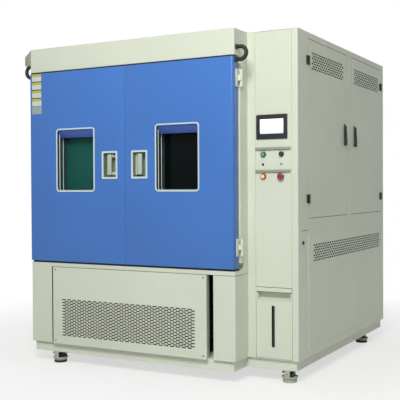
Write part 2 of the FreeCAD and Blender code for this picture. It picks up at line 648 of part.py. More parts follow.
def panel_fittings():
    y = STEP_BACK
    out = []
    for z0, z1 in ((1387.0, 1402.0), (1253.0, 1268.0)):
        strip = box(PANEL_X0 + 2, PANEL_X1 - 2, y - 9, y, z0, z1)
        out.append(strip.cut(box(PANEL_X0 + 1, PANEL_X1 - 1, y - 7, y + 1, z0 - 1, z1 - 2)))
    for x, z, r, extra in BUTTONS.values():
        collar = cyl(x, y - COLLAR, z, min(r + 1, 17), COLLAR, (0, 1, 0))
        barrel = cyl(x, y, z, 10.9, 45, (0, 1, 0))
        body = fuse([collar, barrel])
        body = body.cut(cyl(x, y - COLLAR - 1, z, 11.3, COLLAR + 1, (0, 1, 0)))
        out.append(body.cut(cyl(x, y - 1, z, 6 + RUN, 47, (0, 1, 0))))
    x, z = PORT
    out.append(fuse([cyl(x, y - 5, z, 7, 5, (0, 1, 0)), cyl(x, y, z, 4.9, 15, (0, 1, 0))]))
    x, z = SOCKET
    usb_face = box(x - 9, x + 9, y - 3, y, z - 6, z + 6)
    usb = fuse([usb_face, box(x - 6.3, x + 6.3, y, y + 16, z - 3.3, z + 3.3)])
    out.append(usb.cut(box(x - 5.5, x + 5.5, y - 4, y + 10, z - 2.3, z + 2.3)))
    return group(out)


def button(name):
    x, z, r, extra = BUTTONS[name]
    y = STEP_BACK - COLLAR
    front = y - 5 - extra if extra else y - 12
    back = y - 5
    bevel = 5.0 if extra else 2.0
    points = [
        (0, front), (r - bevel, front), (r, front + bevel), (r, back), (11, back),
        (11, y - 0.5), (6, y - 0.5), (6, y + 25), (0, y + 25),
    ]
    return turned([(a, b - front) for a, b in points], x, front, z, (0, 1, 0))


def tank_drawer():
    y = STEP_BACK
    x0 = PANEL_X0 + 2
    x1 = PANEL_X1 - 2
    top = DRAWER_TOP
    z0 = SKIN_Z + 6
    front = box(x0, x1, y, y + 22, z0, top - 1)
    front = front.cut(box(x0 + 2, x1 - 2, y + 2, y + 23, z0 + 2, top - 3))
    front = front.cut(box(x0 + 8, x1 - 8, y - 1, y + 3, top - 82, top - 26))
    front = front.cut(box(x0 + 7.9, x1 - 7.9, y + 2, y + 23, top - 86, top - 2.9))
    lip = top - 84.5
    scoop = prism_yz([
        (y + 1, lip), (y + 1, top - 82), (y + 38, top - 62), (y + 38, top - 6), (y + 1, top - 6),
        (y + 1, top - 3.5), (y + 40, top - 3.5), (y + 40, top - 64), (y + 8, lip),
    ], x0 + 8, x1 - 8)
    cheek = [(y + 1, top - 84), (y + 39, top - 63), (y + 39, top - 4), (y + 1, top - 4)]
    cheeks = [prism_yz(cheek, a, a + 2) for a in (x0 + 8, x1 - 10)]
    xs = (PANEL_X0 + PANEL_X1) / 2 - 5.5
    low = SKIN_Z + 67
    front = front.cut(box(xs - 10, xs + 10, y - 1, y + 3, low - 2, top - 103))
    sight = cyl(xs, y + 11, low, 7.5, top - 105 - low)
    clips = [box(xs - 12, xs + 12, y + 1, y + 23, a, a + 10) for a in (low - 6, top - 109)]
    ta = PANEL_X0 + 20
    tb = PANEL_X1 - 19
    tz = top - 98
    tank = box(ta, tb, y + 22, TANK_BACK, TANK_Z0, tz)
    tank = tank.cut(box(ta + 2, tb - 2, y + 24, TANK_BACK - 2, TANK_Z0 + 2, tz + 1))
    joiners = [box(a, a + 4, y + 1, y + 24, TANK_Z0, tz) for a in (ta, tb - 4)]
    return fuse([front, scoop, sight, tank] + cheeks + clips + joiners)


def side_door(index):
    y0, y1 = SIDE_Y[index]
    y0 += 3
    y1 -= 3
    z0 = SIDE_Z0 + 3
    z1 = SIDE_Z1 - 3
    w = 78.0
    pitch = 98.0
    columns = int((y1 - y0 - 110) / pitch)
    start = (y0 + y1) / 2 - ((columns - 1) * pitch + w + 20.5) / 2
    rects = slots_xz(start, z1 - 176.0, columns, 7, pitch, 16.0, w, 8.0, 20.5)
    face = plate("x", y0, y1, z0, z1, FULL_W - 2, 2, rects)
    sides = [
        box(FULL_W - 22, FULL_W - 2, y0, y0 + 2, z0, z1),
        box(FULL_W - 22, FULL_W - 2, y1 - 2, y1, z0, z1),
        box(FULL_W - 22, FULL_W - 2, y0 + 2, y1 - 2, z0, z0 + 2),
        box(FULL_W - 22, FULL_W - 2, y0 + 2, y1 - 2, z1 - 2, z1),
    ]
    panel = face.multiFuse(sides)
    yc = LOCK_Y[index]
    panel = panel.cut(cyl(FULL_W - 3, yc, LOCK_TOP, 8 + RUN, 5, (1, 0, 0)))
    edge = SIDE_Y[index][0] if index == 0 else SIDE_Y[index][1]
    away = 1 if index == 0 else -1
    leaves = [side_hinge(edge, away, zc, True) for zc in SIDE_HINGE_Z]
    backing = box(FULL_W, FULL_W + 4, yc - 16, yc + 16, LOCK_Z0 - 4, LOCK_TOP + 18)
    backing = backing.cut(cyl(FULL_W - 1, yc, LOCK_TOP, 8 + RUN, 6, (1, 0, 0)))
    return group([panel, backing] + leaves)


def side_lock(index):
    yc = LOCK_Y[index]
    spindle = cyl(FULL_W - 20, yc, LOCK_TOP, 8, 24.3, (1, 0, 0))
    cam = box(FULL_W - 22, FULL_W - 19, yc - 9, yc + 9, LOCK_TOP - 9, LOCK_TOP + 9)
    disc = cyl(FULL_W + 4.3, yc, LOCK_TOP, 15, 2.2, (1, 0, 0))
    x = FULL_W + 6
    cheeks = [box(x, x + 14, yc - 14.5, yc - 11.5, LOCK_TOP - 6, LOCK_TOP + 6),
              box(x, x + 14, yc + 11.5, yc + 14.5, LOCK_TOP - 6, LOCK_TOP + 6)]
    pin = cyl(FULL_W + 14, yc - 14.5, LOCK_TOP, 2.5, 29, (0, 1, 0))
    return fuse([spindle, cam, disc, pin] + cheeks)


def side_handle(index):
    yc = LOCK_Y[index]
    x0 = FULL_W + 7
    x1 = FULL_W + 21
    arm = box(x0, x1, yc - 11.2, yc + 11.2, LOCK_Z0, LOCK_TOP)
    arm = arm.cut(box(x0 - 1, x0 + 6, yc - 12, yc + 12, LOCK_Z0 + 34, LOCK_TOP - 16))
    hub = cyl(FULL_W + 14, yc - 11.2, LOCK_TOP, 7, 22.4, (0, 1, 0))
    key = cyl(x1 - 1, yc, LOCK_Z0 + 16, 8, 3, (1, 0, 0))
    return fuse([arm, hub, key]).cut(cyl(FULL_W + 14, yc - 12, LOCK_TOP, 2.5 + RUN, 24, (0, 1, 0)))


def service_panels():
    y0 = STEP_BACK + 158
    y1 = DEPTH - 76
    columns = int((y1 - y0 - 130) / 100)
    rects = slots_xz(y0 + 94, SIDE_Z0 - 265, columns, 7, 100.0, 16.0, 80.0, 8.0, 20.5)
    side = plate("x", y0, y1, SKIN_Z + 51, SIDE_Z0 - 97, FULL_W, 2, rects)
    x0 = MID_X - 575
    x1 = MID_X + 575
    starts = [x0 + 110 + i * 200 for i in range(5)]
    louvres = [(a, a + 140, z, z + 12) for a in starts for z in (240.0, 300.0, 360.0, 420.0)]
    rear = plate("y", x0, x1, SKIN_Z + 13, BASE_TOP_Z - 20, DEPTH, 2, louvres)
    gx = x1 - 100
    wx = x0 + 140
    gland = ring(gx, DEPTH + 2, 560, 20, 12, 26, (0, 1, 0))
    union = ring(wx, DEPTH + 2, 560, 10.4, 7.5, 32, (0, 1, 0))
    cable_hole = cyl(gx, DEPTH - 1, 560, 12, 5, (0, 1, 0))
    water_hole = cyl(wx, DEPTH - 1, 560, 7.5, 5, (0, 1, 0))
    rear = rear.cut(group([cable_hole, water_hole]))
    rear = rear.multiFuse([gland, union])
    return group([side, rear])


def hoop(r, t, z, h, sides):
    """Flat-sided ring: r is the distance from the axis to the outer flats."""
    rings = []
    for d in (r, r - t):
        c = d / math.cos(math.pi / sides)
        points = [(c * math.cos(2 * math.pi * (i + 0.5) / sides), c * math.sin(2 * math.pi * (i + 0.5) / sides))
                  for i in range(sides)]
        rings.append(prism_xy(points, z, z + h))
    return rings[0].cut(rings[1])


def specimen_rack():
    r = RACK_R
    sides = 12
    parts = [hoop(r, 4, z, 28, sides) for z in (RACK_Z0, RACK_Z1 - 28)]
    for i in range(sides):
        holder = box(r - 8, r - 4, -38, 38, RACK_Z0, RACK_Z1)
        holder.rotate(V(0, 0, 0), V(0, 0, 1), 360.0 * i / sides)
        parts.append(holder)
    for i in range(6):
        arm = box(20, r - 4, -12, 12, RACK_Z0 + 4, RACK_Z0 + 12)
        arm.rotate(V(0, 0, 0), V(0, 0, 1), 60.0 * i)
        parts.append(arm)
    bore = 15 + RUN
    low = OPEN_Z0 + 30
    top = RACK_Z0 + 18
    seat = OPEN_Z0 + 76
    hub = turned([(bore, low), (36, low), (36, top), (0, top), (0, seat), (bore, seat)], 0, 0, 0)
    body = fuse(parts + [hub])
    body.translate(V(RACK_X, RACK_Y, 0))
    return body


def xenon_lamp():
    x, y = RACK_X, RACK_Y
    roof = OPEN_Z1
    cap_z = OPEN_Z0 + 350
    flange = cyl(x, y, roof + 1.5, 90, 8)
    holder = cyl(x, y, roof - 130, 56, 132.5)
    socket = cyl(x, y, roof - 160, 34, 31)
    tube = cyl(x, y, cap_z + 10, 22, roof - 150 - cap_z - 10)
    filter_out = ring(x, y, cap_z + 40, 52, 48, roof - 129 - cap_z - 40)
    cap = cyl(x, y, cap_z, 54, 41)
    return fuse([flange, holder, socket, tube, filter_out, cap])


def circulation_fan():
    x, z = RACK_X, FAN_Z
    front = CHAMBER_BACK - 74
    hub = cyl(x, front, z, 26, 60, (0, 1, 0))
    disc = cyl(x, front + 52, z, 128, 3, (0, 1, 0))
    parts = [hub, disc]
    for i in range(8):
        blade = box(60, 126, -1.5, 1.5, 0, 52)
        blade.rotate(V(60, 0, 0), V(0, 0, 1), 25)
        blade.rotate(V(0, 0, 0), V(0, 0, 1), 45.0 * i)
        blade.rotate(V(0, 0, 0), V(1, 0, 0), -90)
        blade.translate(V(x, front + 1, z))
        parts.append(blade)
    body = fuse(parts)
    return body.cut(cyl(x, front + 24, z, 8 + RUN, 40, (0, 1, 0)))


def drive_motors():
    x, y = RACK_X, RACK_Y
    gearbox = box(x - 60, x + 60, y - 60, y + 60, BASE_TOP_Z - 80, BASE_TOP_Z - SHEET)
    motor = cyl(x, y, BASE_TOP_Z - 240, 50, 165)
    rack = fuse([gearbox, motor, cyl(x, y, BASE_TOP_Z - SHEET - 1, 15, OPEN_Z0 + 70 - BASE_TOP_Z + 1)])
    flange = cyl(x, CHAMBER_BACK + 1.5, FAN_Z, 80, 8, (0, 1, 0))
    body = cyl(x, CHAMBER_BACK + 9, FAN_Z, 60, 160, (0, 1, 0))
    shaft = cyl(x, CHAMBER_BACK - 44, FAN_Z, 8, 60, (0, 1, 0))
    return group([rack, fuse([flange, body, shaft])])


def refrigeration_unit():
    z0 = SKIN_Z + SHEET
    x0 = VENT_X0 + 90
    x1 = VENT_X1 - 70
    tray = box(x0, x1, 100, 560, z0, z0 + 6)
    core = box(x0 + 20, x0 + 700, 110, 170, z0 + 5, z0 + 331)
    fins = [box(a, a + 10, 104, 176, z0 + 5, z0 + 339) for a in (x0 + 10, x0 + 700)]
    shell = turned([(0, 0), (95, 0), (95, 215), (70, 250), (0, 250)], x1 - 130, 320, z0 + 5)
    px = VENT_X1 + 23
    pipe = fuse([cyl(px, 70, z0, 11, 80), cyl(px, 59, z0 + 80, 11, 200, (0, 1, 0))])
    pipe = fuse([pipe, cyl(px, 250, z0 + 80, 11, 150, (-1, 0, 0))])
    return fuse([tray, core, shell, pipe] + fins)


def electrics_plate():
    x = MAIN_W + 2
    out = []
    z0 = SIDE_Z0 + 26
    bays = (
        (SIDE_Y[0][0] + 23, SIDE_Y[0][1] - 9, SIDE_Z1 - 60),
        (SIDE_Y[1][0] + 20, SIDE_Y[1][1] - 18, SIDE_Z1 - 260),
    )
    for y0, y1, z1 in bays:
        plate_x = x + 12
        parts = [box(plate_x, plate_x + 3, y0, y1, z0, z1)]
        for y in (y0 + 30, y1 - 30):
            for z in (z0 + 30, z1 - 30):
                parts.append(box(x, plate_x + 1, y - 8, y + 8, z - 8, z + 8))
        for row in range(2):
            z = z0 + 160 + row * 260
            parts.append(box(plate_x + 2, plate_x + 12, y0 + 60, y1 - 60, z, z + 35))
            for i in range(min(4, int((y1 - y0 - 75) / 135))):
                y = y0 + 85 + i * 135
                parts.append(box(plate_x + 11, plate_x + 75 + 10 * (i % 3), y, y + 105, z - 30, z + 62))
        parts.append(box(plate_x + 2, plate_x + 140, y0 + 80, y1 - 80, z1 - 160, z1 - 30))
        out.append(fuse(parts))
    return group(out)


def nodes():
    out = {
        "base_frame": base_frame(),
        "lower_casing": lower_casing(),
        "front_vent_panel": front_vent_panel(),
        "panel_screws": panel_screws(),
        "main_casing": main_casing(),
        "inner_liner": inner_liner(),
        "header_cover": header_cover(),
        "column_casing": column_casing(),
        "control_panel": control_panel(),
        "touch_screen": touch_screen(),
        "panel_fittings": panel_fittings(),
        "service_panels": service_panels(),
        "xenon_lamp": xenon_lamp(),
        "refrigeration_unit": refrigeration_unit(),
        "electrics_plate": electrics_plate(),
        "drive_motors": drive_motors(),
        "hinge_bases": hinge_bases(),
        "specimen_rack": specimen_rack(),
        "circulation_fan": circulation_fan(),
        "tank_drawer": tank_drawer(),
    }
    loop = cable_loop()
    out["cable_loop_right"] = loop
    out["cable_loop_left"] = mirrored(loop)
    door = {
        "door_shell": door_shell(),
        "door_liner": door_liner(),
        "door_gasket": door_gasket(),
        "window_frame": window_frame(),
        "window_glass": window_glass(),
        "handle_recess": handle_recess(),
        "door_hinges": door_hinges(),
        "door_lever": door_lever(),
    }
    for name, shape in door.items():
        out[name + "_right"] = shape
        out[name + "_left"] = mirrored(shape)
    for index, name in enumerate(("front", "rear")):
        out["side_door_" + name] = side_door(index)
        out["side_lock_" + name] = side_lock(index)
        out["side_handle_" + name] = side_handle(index)
    for name in BUTTONS:
        out[name] = button(name)
    for name in FEET:
        housing, wheel, pad = foot(name)
        out["castor_" + name] = housing
        out["castor_wheel_" + name] = wheel
        out["levelling_pad_" + name] = pad
    return out


def main():
    os.makedirs("parts", exist_ok=True)
    for name, shape in nodes().items():
        placed = shape.copy()
        placed.translate(V(-ORIGIN_X, -ORIGIN_Y, 0))
        placed.exportStep("parts/%s.step" % name)


main()
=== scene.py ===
import bmesh
import bpy
import math
from mathutils import Matrix, Vector

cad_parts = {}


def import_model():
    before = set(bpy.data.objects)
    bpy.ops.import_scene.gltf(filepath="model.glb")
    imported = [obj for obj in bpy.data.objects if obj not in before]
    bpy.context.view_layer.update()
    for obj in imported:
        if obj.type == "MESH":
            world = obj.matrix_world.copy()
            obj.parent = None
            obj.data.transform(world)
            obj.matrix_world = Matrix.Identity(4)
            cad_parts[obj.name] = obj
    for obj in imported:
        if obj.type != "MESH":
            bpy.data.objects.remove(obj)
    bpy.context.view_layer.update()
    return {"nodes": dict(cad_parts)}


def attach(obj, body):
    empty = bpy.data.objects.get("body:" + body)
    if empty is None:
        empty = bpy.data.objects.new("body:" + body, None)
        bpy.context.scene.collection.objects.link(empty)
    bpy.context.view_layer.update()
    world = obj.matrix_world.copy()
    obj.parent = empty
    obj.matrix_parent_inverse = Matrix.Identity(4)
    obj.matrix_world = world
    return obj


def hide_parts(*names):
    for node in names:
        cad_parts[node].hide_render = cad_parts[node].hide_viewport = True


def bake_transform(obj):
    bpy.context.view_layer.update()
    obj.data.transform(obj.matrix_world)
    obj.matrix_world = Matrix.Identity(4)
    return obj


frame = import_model()

# Cabinet coordinates in millimetres, as in the part: x from the left side, y back from the header, z up.
ORIGIN_X = 900.21
ORIGIN_Y = 983.5
MAIN_W = 1530.0
FULL_W = 1855.0
DEPTH = 1950.0
MID_X = MAIN_W / 2
STEP_BACK = 180.0
DOOR_X0 = MID_X + 0.75
DOOR_X1 = 1526.0
DOOR_Y = -12.0
DOOR_BACK = 58.0
DOOR_Z0 = 683.0
DOOR_Z1 = 1931.5
DOOR_EDGE_R = 9.0
HEADER_Z = 1942.0
BASE_TOP_Z = 670.0
SKIN_Z = 137.0
PLUG_BACK = 99.0
PLUG = (820.0, 1425.0, 785.0, 1835.0)
VENT = (191.0, 1346.0, 137.0, 643.0)
PANEL_X0 = 1582.0
PANEL_X1 = 1817.0
PANEL_MID = 1690.0
DRAWER_TOP = 566.0
PANE_Y = (74.0, 92.0)

WIN_X = 1148.0
WIN_W = 312.0
WIN_H = 418.0
WIN_Z = 1349.0
WIN_BORDER = 11.0
WIN_R = 24.0
REVEAL_FOLDS = ((18.0, 24.0), (56.0, 60.0))

PULL_X = 877.0
PULL_W = 120.0
PULL_H = 178.0
PULL_Z = 1311.0
PULL_BORDER = 13.0
PULL_DEEP = 50.0
LEVER_X = 838.0
LEVER_Y = 17.0
LEVER_Z = (1248.0, 1378.0)

HINGE_X = 1544.0
HINGE_Y = 67.0
HINGE_H = 104.0
HINGE_FOOT = (0.0, 42.0)
HINGE_KNUCKLES = ((0.0, 34.7), (69.3, HINGE_H))
HINGE_SCREWS = (14.0, 52.0, 90.0)
HINGE_Z = (1758.0, 757.0)
SIDE_HINGE_Z = (1929.0, 1093.0)
SIDE_HINGE_H = 54.0
SIDE_AXIS_X = FULL_W + 6.3
SIDE_Y = ((347.0, 1069.0), (1170.0, 1878.0))
SIDE_Z0 = 974.0
SIDE_Z1 = 2060.0
LOCK_Y = (1024.0, 1237.0)
LOCK_Z0 = 1444.0
LOCK_TOP = 1574.0

LOOP_R = 12.5
LOOP_BEND = 37.5
LOOP_Y = 30.0
LOOP_TOP = 1990.0
LOOP_BOTTOM = 1915.0
LOOP_OUT = {"right": 28.0, "left": 19.0}

SLOT_PITCH = 41.3
FRONT_SLOT = (30.0, 7.0, 9.8)
SIDE_SLOT = (35.0, 10.0, 15.8)

# Thin sheets
SHEET = 2.0
FRONT_SHEET_Y = -14.0
FRONT_SLOTS = (266.0, 193.0, 24, 25)
SERVICE = (338.0, 1874.0, 188.0, 877.0)
SERVICE_SLOTS = (427.0, 708.0, 34, 7)
REAR_SHEET = (190.0, 1340.0, 150.0, 650.0)
LOUVRE_X = (300.0, 620.0, 940.0)
LOUVRE_Z = (240.0, 300.0, 360.0, 420.0)
LOUVRE_W = 280.0
GLAND = (1240.0, DEPTH + SHEET, 560.0)
UNION = (330.0, DEPTH + SHEET, 560.0)
SIDE_COLUMNS = 14
SIDE_ROWS = 7
SIDE_SLOT_Z = 1881.0
SIDE_SEAM = 3.0
SIDE_RETURN = 22.0
FRONT_SCREWS = ((211.0, 1324.0), (158.0, 626.0))
SIDE_SCREWS = ((350.0, 854.0, 1358.0, 1862.0), (198.0, 867.0))
REAR_SCREWS = ((205.0, 765.0, 1325.0), (165.0, 635.0))

# Left door films
FILM_X = (23.5, 102.5)
FILM_TOP = 1930.5
FILM_PITCH = 54.5
FILM_COUNT = 4
LAST_FILM_Z = (1662.0, 1714.0)

# Column fittings
SCREEN_Z = 1526.5
SCREEN_W = 151.0
SCREEN_H = 88.0
STRIP_Z = ((1387.0, 1402.0), (1253.0, 1268.0))
ROUND_SOCKET = (1633.0, 1301.0)
DATA_SOCKET = (1750.0, 1302.0)
LEVEL_X = PANEL_MID + 4
LEVEL_Z = (204.5, 460.5)
POST_LOCK = (256.0, 832.0)
POST_SEAM = (232.0, 347.0, 903.0, 906.0)

SIDES = ("right", "left")


def at(x, y, z):
    return Vector(((x - ORIGIN_X) / 1000, (y - ORIGIN_Y) / 1000, z / 1000))


def polar(x, y, r, degrees):
    """The point at distance r from (x, y)."""
    a = math.radians(degrees)
    return x + r * math.cos(a), y + r * math.sin(a)


def circle(axis, centre, r, d, steps):
    """Loop of points round an axis, at distance d along it from the centre."""
    loop = []
    for i in range(steps):
        a = 2 * math.pi * i / steps
        p = [r * math.cos(a), r * math.sin(a)]
        p.insert(axis, d)
        loop.append(tuple(c + q for c, q in zip(centre, p)))
    return loop


def srgb(r, g, b):
    def linear(c):
        c /= 255.0
        return c / 12.92 if c <= 0.04045 else ((c + 0.055) / 1.055) ** 2.4
    return linear(r), linear(g), linear(b), 1.0


def shade(colour, k):
    return tuple(min(1.0, c * k) for c in colour[:3]) + (1.0,)


# Materials

def add_node(tree, kind, **values):
    made = tree.nodes.new(kind)
    for key, value in values.items():
        made.inputs[key.replace("_", " ")].default_value = value
    return made


class Finish:
    """A procedural material on one Principled shader, in object coordinates, which are metres."""

    def __init__(self, name, colour, rough, metal=0.0):
        self.material = bpy.data.materials.new(name)
        self.material.use_nodes = True
        self.tree = self.material.node_tree
        self.shader = self.tree.nodes["Principled BSDF"]
        self.colour = colour
        self.set("Base Color", colour)
        self.set("Roughness", rough)
        self.set("Metallic", metal)
        self.material.diffuse_color = colour
        self.place = self.node("ShaderNodeTexCoord").outputs["Object"]
        self.normal = None

    def node(self, kind, **values):
        return add_node(self.tree, kind, **values)

    def set(self, socket, value):
        self.shader.inputs[socket].default_value = value

    def link(self, a, b):
        self.tree.links.new(a, b)

    def stretched(self, scale):
        mapping = self.node("ShaderNodeMapping", Scale=scale)
        self.link(self.place, mapping.inputs["Vector"])
        return mapping.outputs["Vector"]

    def noise(self, scale, detail=3.0, vector=None):
        made = self.node("ShaderNodeTexNoise", Scale=scale, Detail=detail, Roughness=0.5)
        self.link(vector or self.place, made.inputs["Vector"])
        return made.outputs["Fac"]

    def span(self, value, low, high, start=0.3, end=0.7):
        made = self.node("ShaderNodeMapRange", From_Min=start, From_Max=end, To_Min=low, To_Max=high)
        self.link(value, made.inputs["Value"])
        return made.outputs["Result"]

    def mixed(self, factor, a, b):
        made = self.node("ShaderNodeMix")
        made.data_type = "RGBA"
        self.link(factor, made.inputs["Factor"])
        for socket, value in (("A", a), ("B", b)):
            target = [s for s in made.inputs if s.name == socket and s.type == "RGBA"][0]
            if isinstance(value, tuple):
                target.default_value = value
            else:
                self.link(value, target)
        return [s for s in made.outputs if s.type == "RGBA"][0]

    def toned(self, factor, k_low, k_high):
        out = self.mixed(factor, shade(self.colour, k_low), shade(self.colour, k_high))
        self.link(out, self.shader.inputs["Base Color"])

    def mottled(self, scale, detail, k_low, k_high):
        self.toned(self.span(self.noise(scale, detail), 0.0, 1.0), k_low, k_high)

    def roughened(self, value, low, high):
        self.link(self.span(value, low, high), self.shader.inputs["Roughness"])

    def rounded_edges(self, radius):
        bevel = self.node("ShaderNodeBevel", Radius=radius)
        bevel.samples = 4
        self.normal = bevel.outputs["Normal"]
        self.link(self.normal, self.shader.inputs["Normal"])

    def bumps(self, height, strength, distance):
        bump = self.node("ShaderNodeBump", Strength=strength, Distance=distance)
        self.link(height, bump.inputs["Height"])
        if self.normal:
            self.link(self.normal, bump.inputs["Normal"])
        self.normal = bump.outputs["Normal"]
        self.link(self.normal, self.shader.inputs["Normal"])


def powder_coat(name, colour, rough=0.38, edge=0.0015, grain=0.12):
    """Baked powder paint: faint tone drift, fine orange peel, slightly uneven gloss."""
    f = Finish(name, colour, rough)
    f.set("Specular IOR Level", 0.25)
    f.mottled(2.3, 4.0, 0.965, 1.02)
    f.roughened(f.noise(3.0, 2.0), rough - 0.02, rough + 0.02)
    f.rounded_edges(edge)
    f.bumps(f.noise(520.0, 2.0), grain, 0.0004)
    return f.material


def brushed(name, colour, rough, grain_axis):
    """Brushed sheet metal, its grain running along one axis."""
    f = Finish(name, colour, rough, 1.0)
    scale = [900.0, 900.0, 900.0]
    scale[grain_axis] = 6.0
    grain = f.noise(1.0, 4.0, f.stretched(tuple(scale)))
    f.toned(f.span(grain, 0.0, 1.0), 0.86, 1.06)
    f.roughened(grain, rough - 0.08, rough + 0.1)
    f.rounded_edges(0.001)
    f.bumps(grain, 0.08, 0.0002)
    return f.material


def cast_metal(name, colour, rough=0.45, metal=0.9, scale=420.0, strength=0.25):
    """Satin die-cast or plated metal with a fine tumbled surface."""
    f = Finish(name, colour, rough, metal)
    f.mottled(35.0, 5.0, 0.9, 1.05)
    f.rounded_edges(0.0008)
    f.bumps(f.noise(scale, 3.0), strength, 0.0003)
    return f.material


def moulded(name, colour, rough=0.4, texture=900.0, strength=0.1):
    """Moulded plastic with a fine spark-eroded grain."""
    f = Finish(name, colour, rough)
    f.mottled(28.0, 3.0, 0.92, 1.06)
    f.roughened(f.noise(60.0, 4.0), rough - 0.06, rough + 0.08)
    f.rounded_edges(0.0008)
    f.bumps(f.noise(texture, 2.0), strength, 0.0002)
    return f.material


def rubber(name, colour=srgb(26, 27, 27)):
    f = Finish(name, colour, 0.72)
    f.mottled(70.0, 5.0, 0.8, 1.35)
    f.rounded_edges(0.0008)
    f.bumps(f.noise(380.0, 4.0), 0.3, 0.0003)
    return f.material


def tinted_glass(name, colour):
    """Heavy absorbing double glazing with faint smears in its gloss."""
    f = Finish(name, colour, 0.03)
    f.set("Transmission Weight", 0.85)
    f.set("Specular IOR Level", 0.04)
    f.set("IOR", 1.15)
    f.roughened(f.noise(14.0, 6.0), 0.02, 0.07)
    return f.material


def clear_quartz(name):
    f = Finish(name, srgb(225, 232, 238), 0.05)
    f.set("Transmission Weight", 0.7)
    f.set("IOR", 1.46)
    f.roughened(f.noise(40.0, 3.0), 0.03, 0.12)
    return f.material


LAMP_SPOT = 0.012


def lens(name, colour, glow, centre):
    """Moulded translucent button lens, brighter where a lamp behind it shines through."""
    f = Finish(name, colour, 0.22)
    f.mottled(300.0, 2.0, 0.93, 1.05)
    f.set("Coat Weight", 0.4)
    f.rounded_edges(0.0006)
    if glow:
        shift = f.node("ShaderNodeVectorMath")
        shift.operation = "DISTANCE"
        f.link(f.place, shift.inputs[0])
        shift.inputs[1].default_value = centre
        spot = f.span(shift.outputs["Value"], glow, 0.0, 0.0, LAMP_SPOT)
        f.link(spot, f.shader.inputs["Emission Strength"])
        f.set("Emission Color", shade((1.0, 0.72, 0.42), 1.0))
    return f.material


def display(name):
    """Lit liquid-crystal screen, white with a slow fall-off towards its lower edge."""
    f = Finish(name, srgb(236, 240, 243), 0.18)
    split = f.node("ShaderNodeSeparateXYZ")
    f.link(f.place, split.inputs["Vector"])
    lower = at(0, 0, SCREEN_Z - SCREEN_H / 2 - 0.5).z
    upper = at(0, 0, SCREEN_Z + SCREEN_H / 2 + 0.5).z
    fade = f.span(split.outputs["Z"], 0.0, 1.0, lower, lower + (upper - lower) * 0.28)
    tone = f.mixed(fade, srgb(176, 190, 202), srgb(246, 249, 251))
    f.link(tone, f.shader.inputs["Base Color"])
    f.link(tone, f.shader.inputs["Emission Color"])
    f.set("Emission Strength", 0.55)
    return f.material


def print_film(name, colour):
    """Blank self-adhesive vinyl with a soft sheen."""
    f = Finish(name, colour, 0.35)
    f.mottled(120.0, 5.0, 0.93, 1.02)
    f.bumps(f.noise(90.0, 3.0), 0.08, 0.0004)
    return f.material


CREAM = srgb(209, 214, 199)
BLUE = srgb(69, 116, 192)
SILVER = srgb(205, 220, 222)

PAINT = powder_coat("cream_powder_coat", CREAM)
# The plinth takes a slightly lighter copy of the cream, as painted light on the shaded plinth.
PLINTH_PAINT_LIT = powder_coat("plinth_powder_coat_lit", srgb(214, 218, 204), 0.46)
DOOR_PAINT = powder_coat("blue_powder_coat", BLUE, 0.3, 0.002, 0.07)
HOOD_PAINT = powder_coat("hood_blue", srgb(62, 92, 170), 0.32, 0.001, 0.07)
HINGE_PAINT = powder_coat("hinge_cream", srgb(212, 217, 200), 0.35, 0.0012)
STEEL_UP = brushed("stainless_vertical", srgb(190, 194, 196), 0.3, 2)
STEEL_ACROSS = brushed("stainless_across", srgb(186, 190, 192), 0.3, 0)
TRIM = brushed("satin_trim", SILVER, 0.34, 2)
# The reveal's steel is given a dark teal grey as painted shade under the window hood.
REVEAL_SHADED = cast_metal("window_reveal", srgb(112, 128, 130), 0.26, 0.8, 60.0, 0.35)
# Near-white reveal folds: painted highlight streaks on the reveal's steel.
FOLD_HIGHLIGHT = powder_coat("reveal_fold_highlight", srgb(214, 232, 230), 0.25)
LEVER_GREY = powder_coat("lever_grey", srgb(176, 189, 176), 0.32, 0.0018)
# Handle pocket walls in a darker grey-green, as painted shade in the recess.
POCKET_SHADE = powder_coat("pocket_grey_shade", srgb(126, 142, 124), 0.4, 0.001)
BLACK = moulded("black_enamel", srgb(8, 9, 8), 0.55)
CONDUIT = moulded("conduit_black", srgb(7, 8, 8), 0.6, 700.0, 0.1)
RUBBER = rubber("gasket_rubber")
# The same tinted glass is in both doors: the left pane's lighter teal is painted reflection and the right
# pane's near black is painted shade.
GLASS_LIT_AND_SHADED = {
    "left": tinted_glass("window_glass_left", srgb(72, 170, 160)),
    "right": tinted_glass("window_glass_right", srgb(30, 44, 46)),
}
SEAL = rubber("glazing_seal", srgb(16, 18, 18))
BEZEL = moulded("bezel_navy", srgb(9, 13, 20), 0.55)
SCREEN = display("screen_lit")
# A grey that stands for shade: the cowl's front in the header's shade, and the trim strips' grey darkened as
# the shade under their ledges.
STRIP_GREY_SHADE = powder_coat("strip_grey_shade", srgb(148, 153, 136), 0.42, 0.0008)
CHROME = cast_metal("bright_plated", srgb(205, 208, 208), 0.2, 1.0, 500.0, 0.05)
ZINC = cast_metal("zinc_plated", srgb(150, 150, 142), 0.38)
DARK_STEEL = cast_metal("dark_screw", srgb(84, 86, 80), 0.4)
CASTOR_PAINT = powder_coat("castor_grey", srgb(172, 180, 166), 0.42, 0.0012)
NYLON = moulded("black_nylon", srgb(24, 24, 24), 0.5)
DIAL = moulded("dial_maroon", srgb(92, 34, 30), 0.4)
MACHINE = powder_coat("machine_black", srgb(38, 40, 40), 0.45)
MOTOR = cast_metal("motor_casting", srgb(128, 134, 138), 0.5, 0.7)
QUARTZ = clear_quartz("quartz")
ELECTRICS = moulded("electrics_grey", srgb(150, 154, 152), 0.45)
YELLOW_FILM = print_film("yellow_film", srgb(178, 177, 76))
DARK_FILM = print_film("dark_film", srgb(40, 45, 40))
WHITE_FILM = print_film("white_film", srgb(203, 208, 211))
GREY_FILM = print_film("grey_film", srgb(150, 165, 165))
